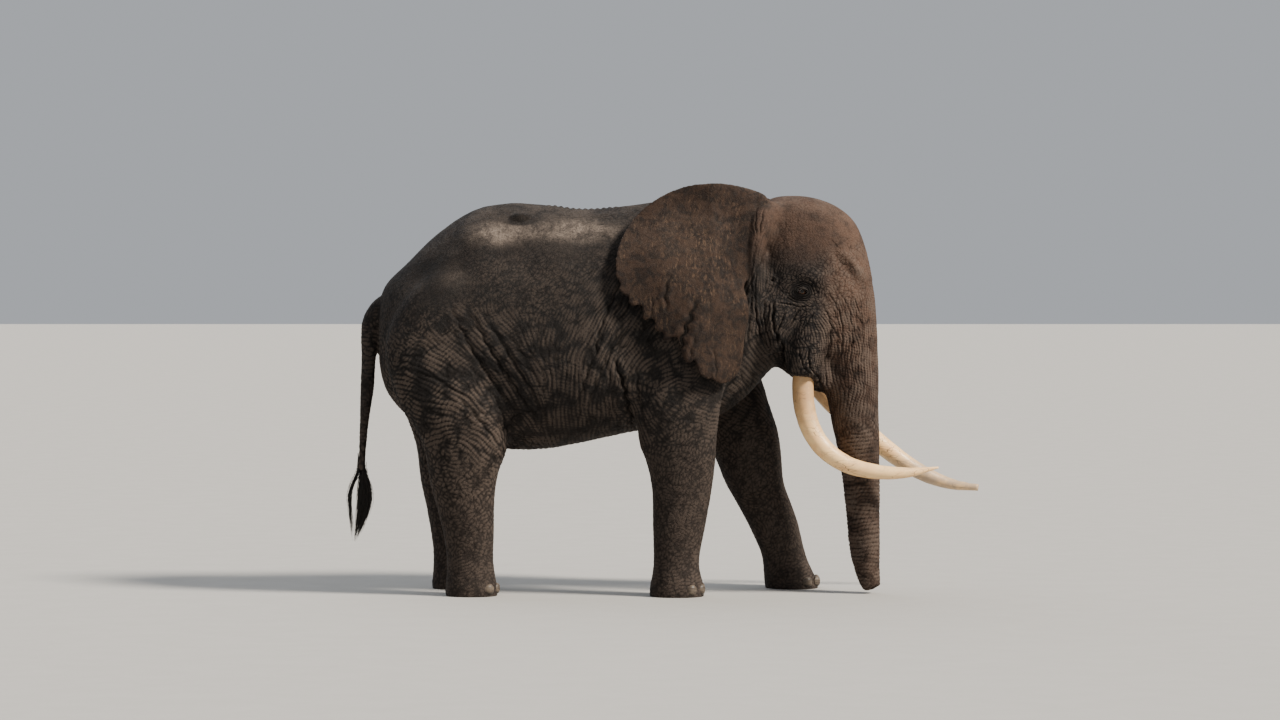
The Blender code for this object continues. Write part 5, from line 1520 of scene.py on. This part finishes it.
def ivory_material():
    """Aged ivory: cream with lengthwise streaks and fine cracks, brown where it leaves the lip."""
    m = Material("ivory", specular=0.45)
    z = m.split(m.place)[2]
    streaks = m.noise(5.0, 5, 0.6, place=m.stretched((0.6, 5.0, 3.0)))
    m.colour = m.mix(m.span(streaks, 0.35, 0.7), IVORY_LIGHT, IVORY_TAN)
    root = m.span(m.math("ADD", z, m.times(m.noise(16.0, 4), 0.3)), 1.42, 1.78)
    m.coat(m.times(root, 0.75), IVORY_ROOT)
    cracks = m.span(m.cracks(9.0, m.stretched((0.5, 6.0, 3.0), (0.0, 0.25, 0.0))), 0.0, 0.035)
    cracks = m.most(cracks, m.spots((3.0, 2), 0.45, 0.55))
    m.coat(m.math("SUBTRACT", 1.0, cracks), IVORY_CRACK)
    m.coat(m.times(m.spots((40.0, 4, 0.7), 0.55, 0.75), 0.45), IVORY_TAN)
    m.coat(m.times(m.spots((14.0, 6, 0.7, 0.7), 0.5, 0.66), 0.26), IVORY_GREY)
    stained = m.times(m.field("worn"), m.span(z, 1.15, 0.98), m.spots((9.0, 5, 0.7), 0.35, 0.6, 0.45, 0.95))
    m.coat(stained, IVORY_GREY)
    # painted shade in the hollows of the worn tip
    m.coat(m.field("hollow"), IVORY_HOLLOW)
    height = m.math("ADD", cracks, m.times(streaks, 0.4))
    return m.finish(m.span(streaks, 0.3, 0.7, 0.36, 0.52), height, depth=0.0012, strength=0.6)


def eye_material():
    """Dark brown iris with a darker rim, a round pupil and the veined brown white round them, all wet."""
    m = Material("eye_wet", specular=0.3, roughness=0.14)
    m.shade(**{"Coat Weight": 0.15, "Coat Roughness": 0.03})
    polar = m.field("polar")
    rings = {"X": m.times(m.field("around"), 9.0), "Y": m.times(polar, 2.5)}
    rays = m.noise(1.0, 3, 0.6, place=m.add("ShaderNodeCombineXYZ", rings).outputs[0])
    iris = m.mix(m.span(rays, 0.35, 0.7), IRIS_DARK, IRIS_LIGHT)
    iris = m.mix(m.span(polar, 0.42, 0.54), iris, IRIS_RIM)
    m.colour = m.mix(m.span(polar, 0.2, 0.23), PUPIL, iris)
    veins = m.mix(m.spots((90.0, 4, 0.6), 0.45, 0.6), EYE_WHITE, EYE_VEIN)
    m.coat(m.span(polar, 0.56, 0.62), veins)
    return m.finish()


def nail_material():
    """Brown horn in growth bands, with grime in it, darkest at the ground."""
    m = Material("toenail", specular=0.35)
    bands = m.noise(9.0, 5, 0.6, place=m.stretched((1.0, 1.0, 6.0)))
    m.colour = m.mix(m.span(bands, 0.35, 0.7), NAIL_DARK, NAIL_LIGHT)
    m.coat(m.times(m.spots((45.0, 4, 0.7), 0.5, 0.72), 0.5), HIDE_FURROW_DIRT_AND_SHADE)
    m.coat(m.times(m.span(m.split(m.place)[2], 0.05, 0.02), 0.5), HIDE_DARK)
    return m.finish(m.span(bands, 0.3, 0.7, 0.42, 0.62), bands, depth=0.002, strength=0.5)


def hair_material():
    m = Material("coarse_hair", specular=0.4)
    shade = m.noise(60.0, 2, 0.5)
    m.colour = m.mix(m.span(shade, 0.35, 0.7), HAIR_BLACK, HAIR_BROWN)
    return m.finish(m.span(shade, 0.3, 0.7, 0.38, 0.55), shade, depth=0.0004, strength=0.3)


def floor_material():
    m = Material("pale_floor", specular=0.2)
    speck = m.noise(3.0, 4, 0.6)
    m.colour = m.mix(speck, FLOOR_LIGHT, FLOOR_SHADE)
    return m.finish(m.span(speck, 0.3, 0.7, 0.75, 0.9))


# ---- floor, light and camera


def stage():
    """A wide flat pale floor under a soft sky, a hazy sun from ahead and a broad pale light from behind."""
    world = bpy.data.worlds.new("soft_sky")
    bpy.context.scene.world = world
    world.use_nodes = True
    sky = world.node_tree.nodes["Background"]
    sky.inputs["Color"].default_value = SKY
    sky.inputs["Strength"].default_value = SKY_STRENGTH
    mesh = bpy.data.meshes.new("floor")
    corners = [(x * FLOOR_HALF, y * FLOOR_HALF, 0) for x, y in ((-1, -1), (1, -1), (1, 1), (-1, 1))]
    mesh.from_pydata(corners, [], [(0, 1, 2, 3)])
    mesh.materials.append(floor_material())
    linked("floor", mesh)
    for name, way, across, strength, tint in SUNS:
        lamp = bpy.data.lights.new(name, "SUN")
        lamp.angle = math.radians(across)
        lamp.energy = strength
        lamp.color = tint
        linked(name, lamp).rotation_euler = Vector(way).to_track_quat("Z", "Y").to_euler()


def camera():
    lens = bpy.data.cameras.new("camera")
    lens.lens = CAMERA_LENS
    lens.clip_end = CAMERA_SIGHT
    obj = linked("camera", lens)
    obj.location = (-MIDDLE[0], -CAMERA_AWAY, CAMERA_HEIGHT)
    obj.rotation_euler = (math.radians(90 - CAMERA_DOWN), 0.0, 0.0)
    bpy.context.scene.camera = obj


# ---- the whole animal


def settle(obj, material, slot, *nodes):
    """Moves a piece from the drawing's frame to the row's, and hands it to the frame."""
    obj.data.transform(Matrix.Translation(-MIDDLE))
    obj.data.materials.clear()
    obj.data.materials.append(material)
    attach(obj, "root")
    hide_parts(*nodes)


def hide():
    """The skin with its relief and map: smaller faces on the head, and still smaller ones at the eyes."""
    obj, flanks = build_skin_base()
    refined(obj, lambda points: (head_share(points) > 0.5) & (points[:, 2] > HEAD_REFINED_ABOVE))
    for reach in EYES_REFINED:
        refined(obj, lambda points: eye_distance(points) < reach)
    smooth_normals, ears = sculpt_skin(obj.data, flanks)
    unwrap_skin(obj.data, smooth_normals, ears)
    obj.name = "hide"
    return smooth(obj)


def build():
    camera()
    stage()
    kept_apart = ("eye_", "tusk_", "nail_", "tail_brush")
    flesh_nodes = [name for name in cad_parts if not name.startswith(kept_apart)]
    settle(hide(), hide_material(), "hide", *flesh_nodes)
    wet, ivory, black = eye_material(), ivory_material(), hair_material()
    for side, word, table in ((RIGHT, "right", TUSK_RIGHT), (LEFT, "left", TUSK_LEFT)):
        settle(eyeball(side, word), wet, "eye", f"eye_{word}")
        settle(lashes(side, word), black, "hair")
        settle(fine_tusk(side, table, side == LEFT, word), ivory, "ivory", f"tusk_{word}")
    settle(nails(), nail_material(), "nail", *[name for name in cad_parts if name.startswith("nail_")])
    settle(tail_hair(), black, "hair", "tail_brush")


build()
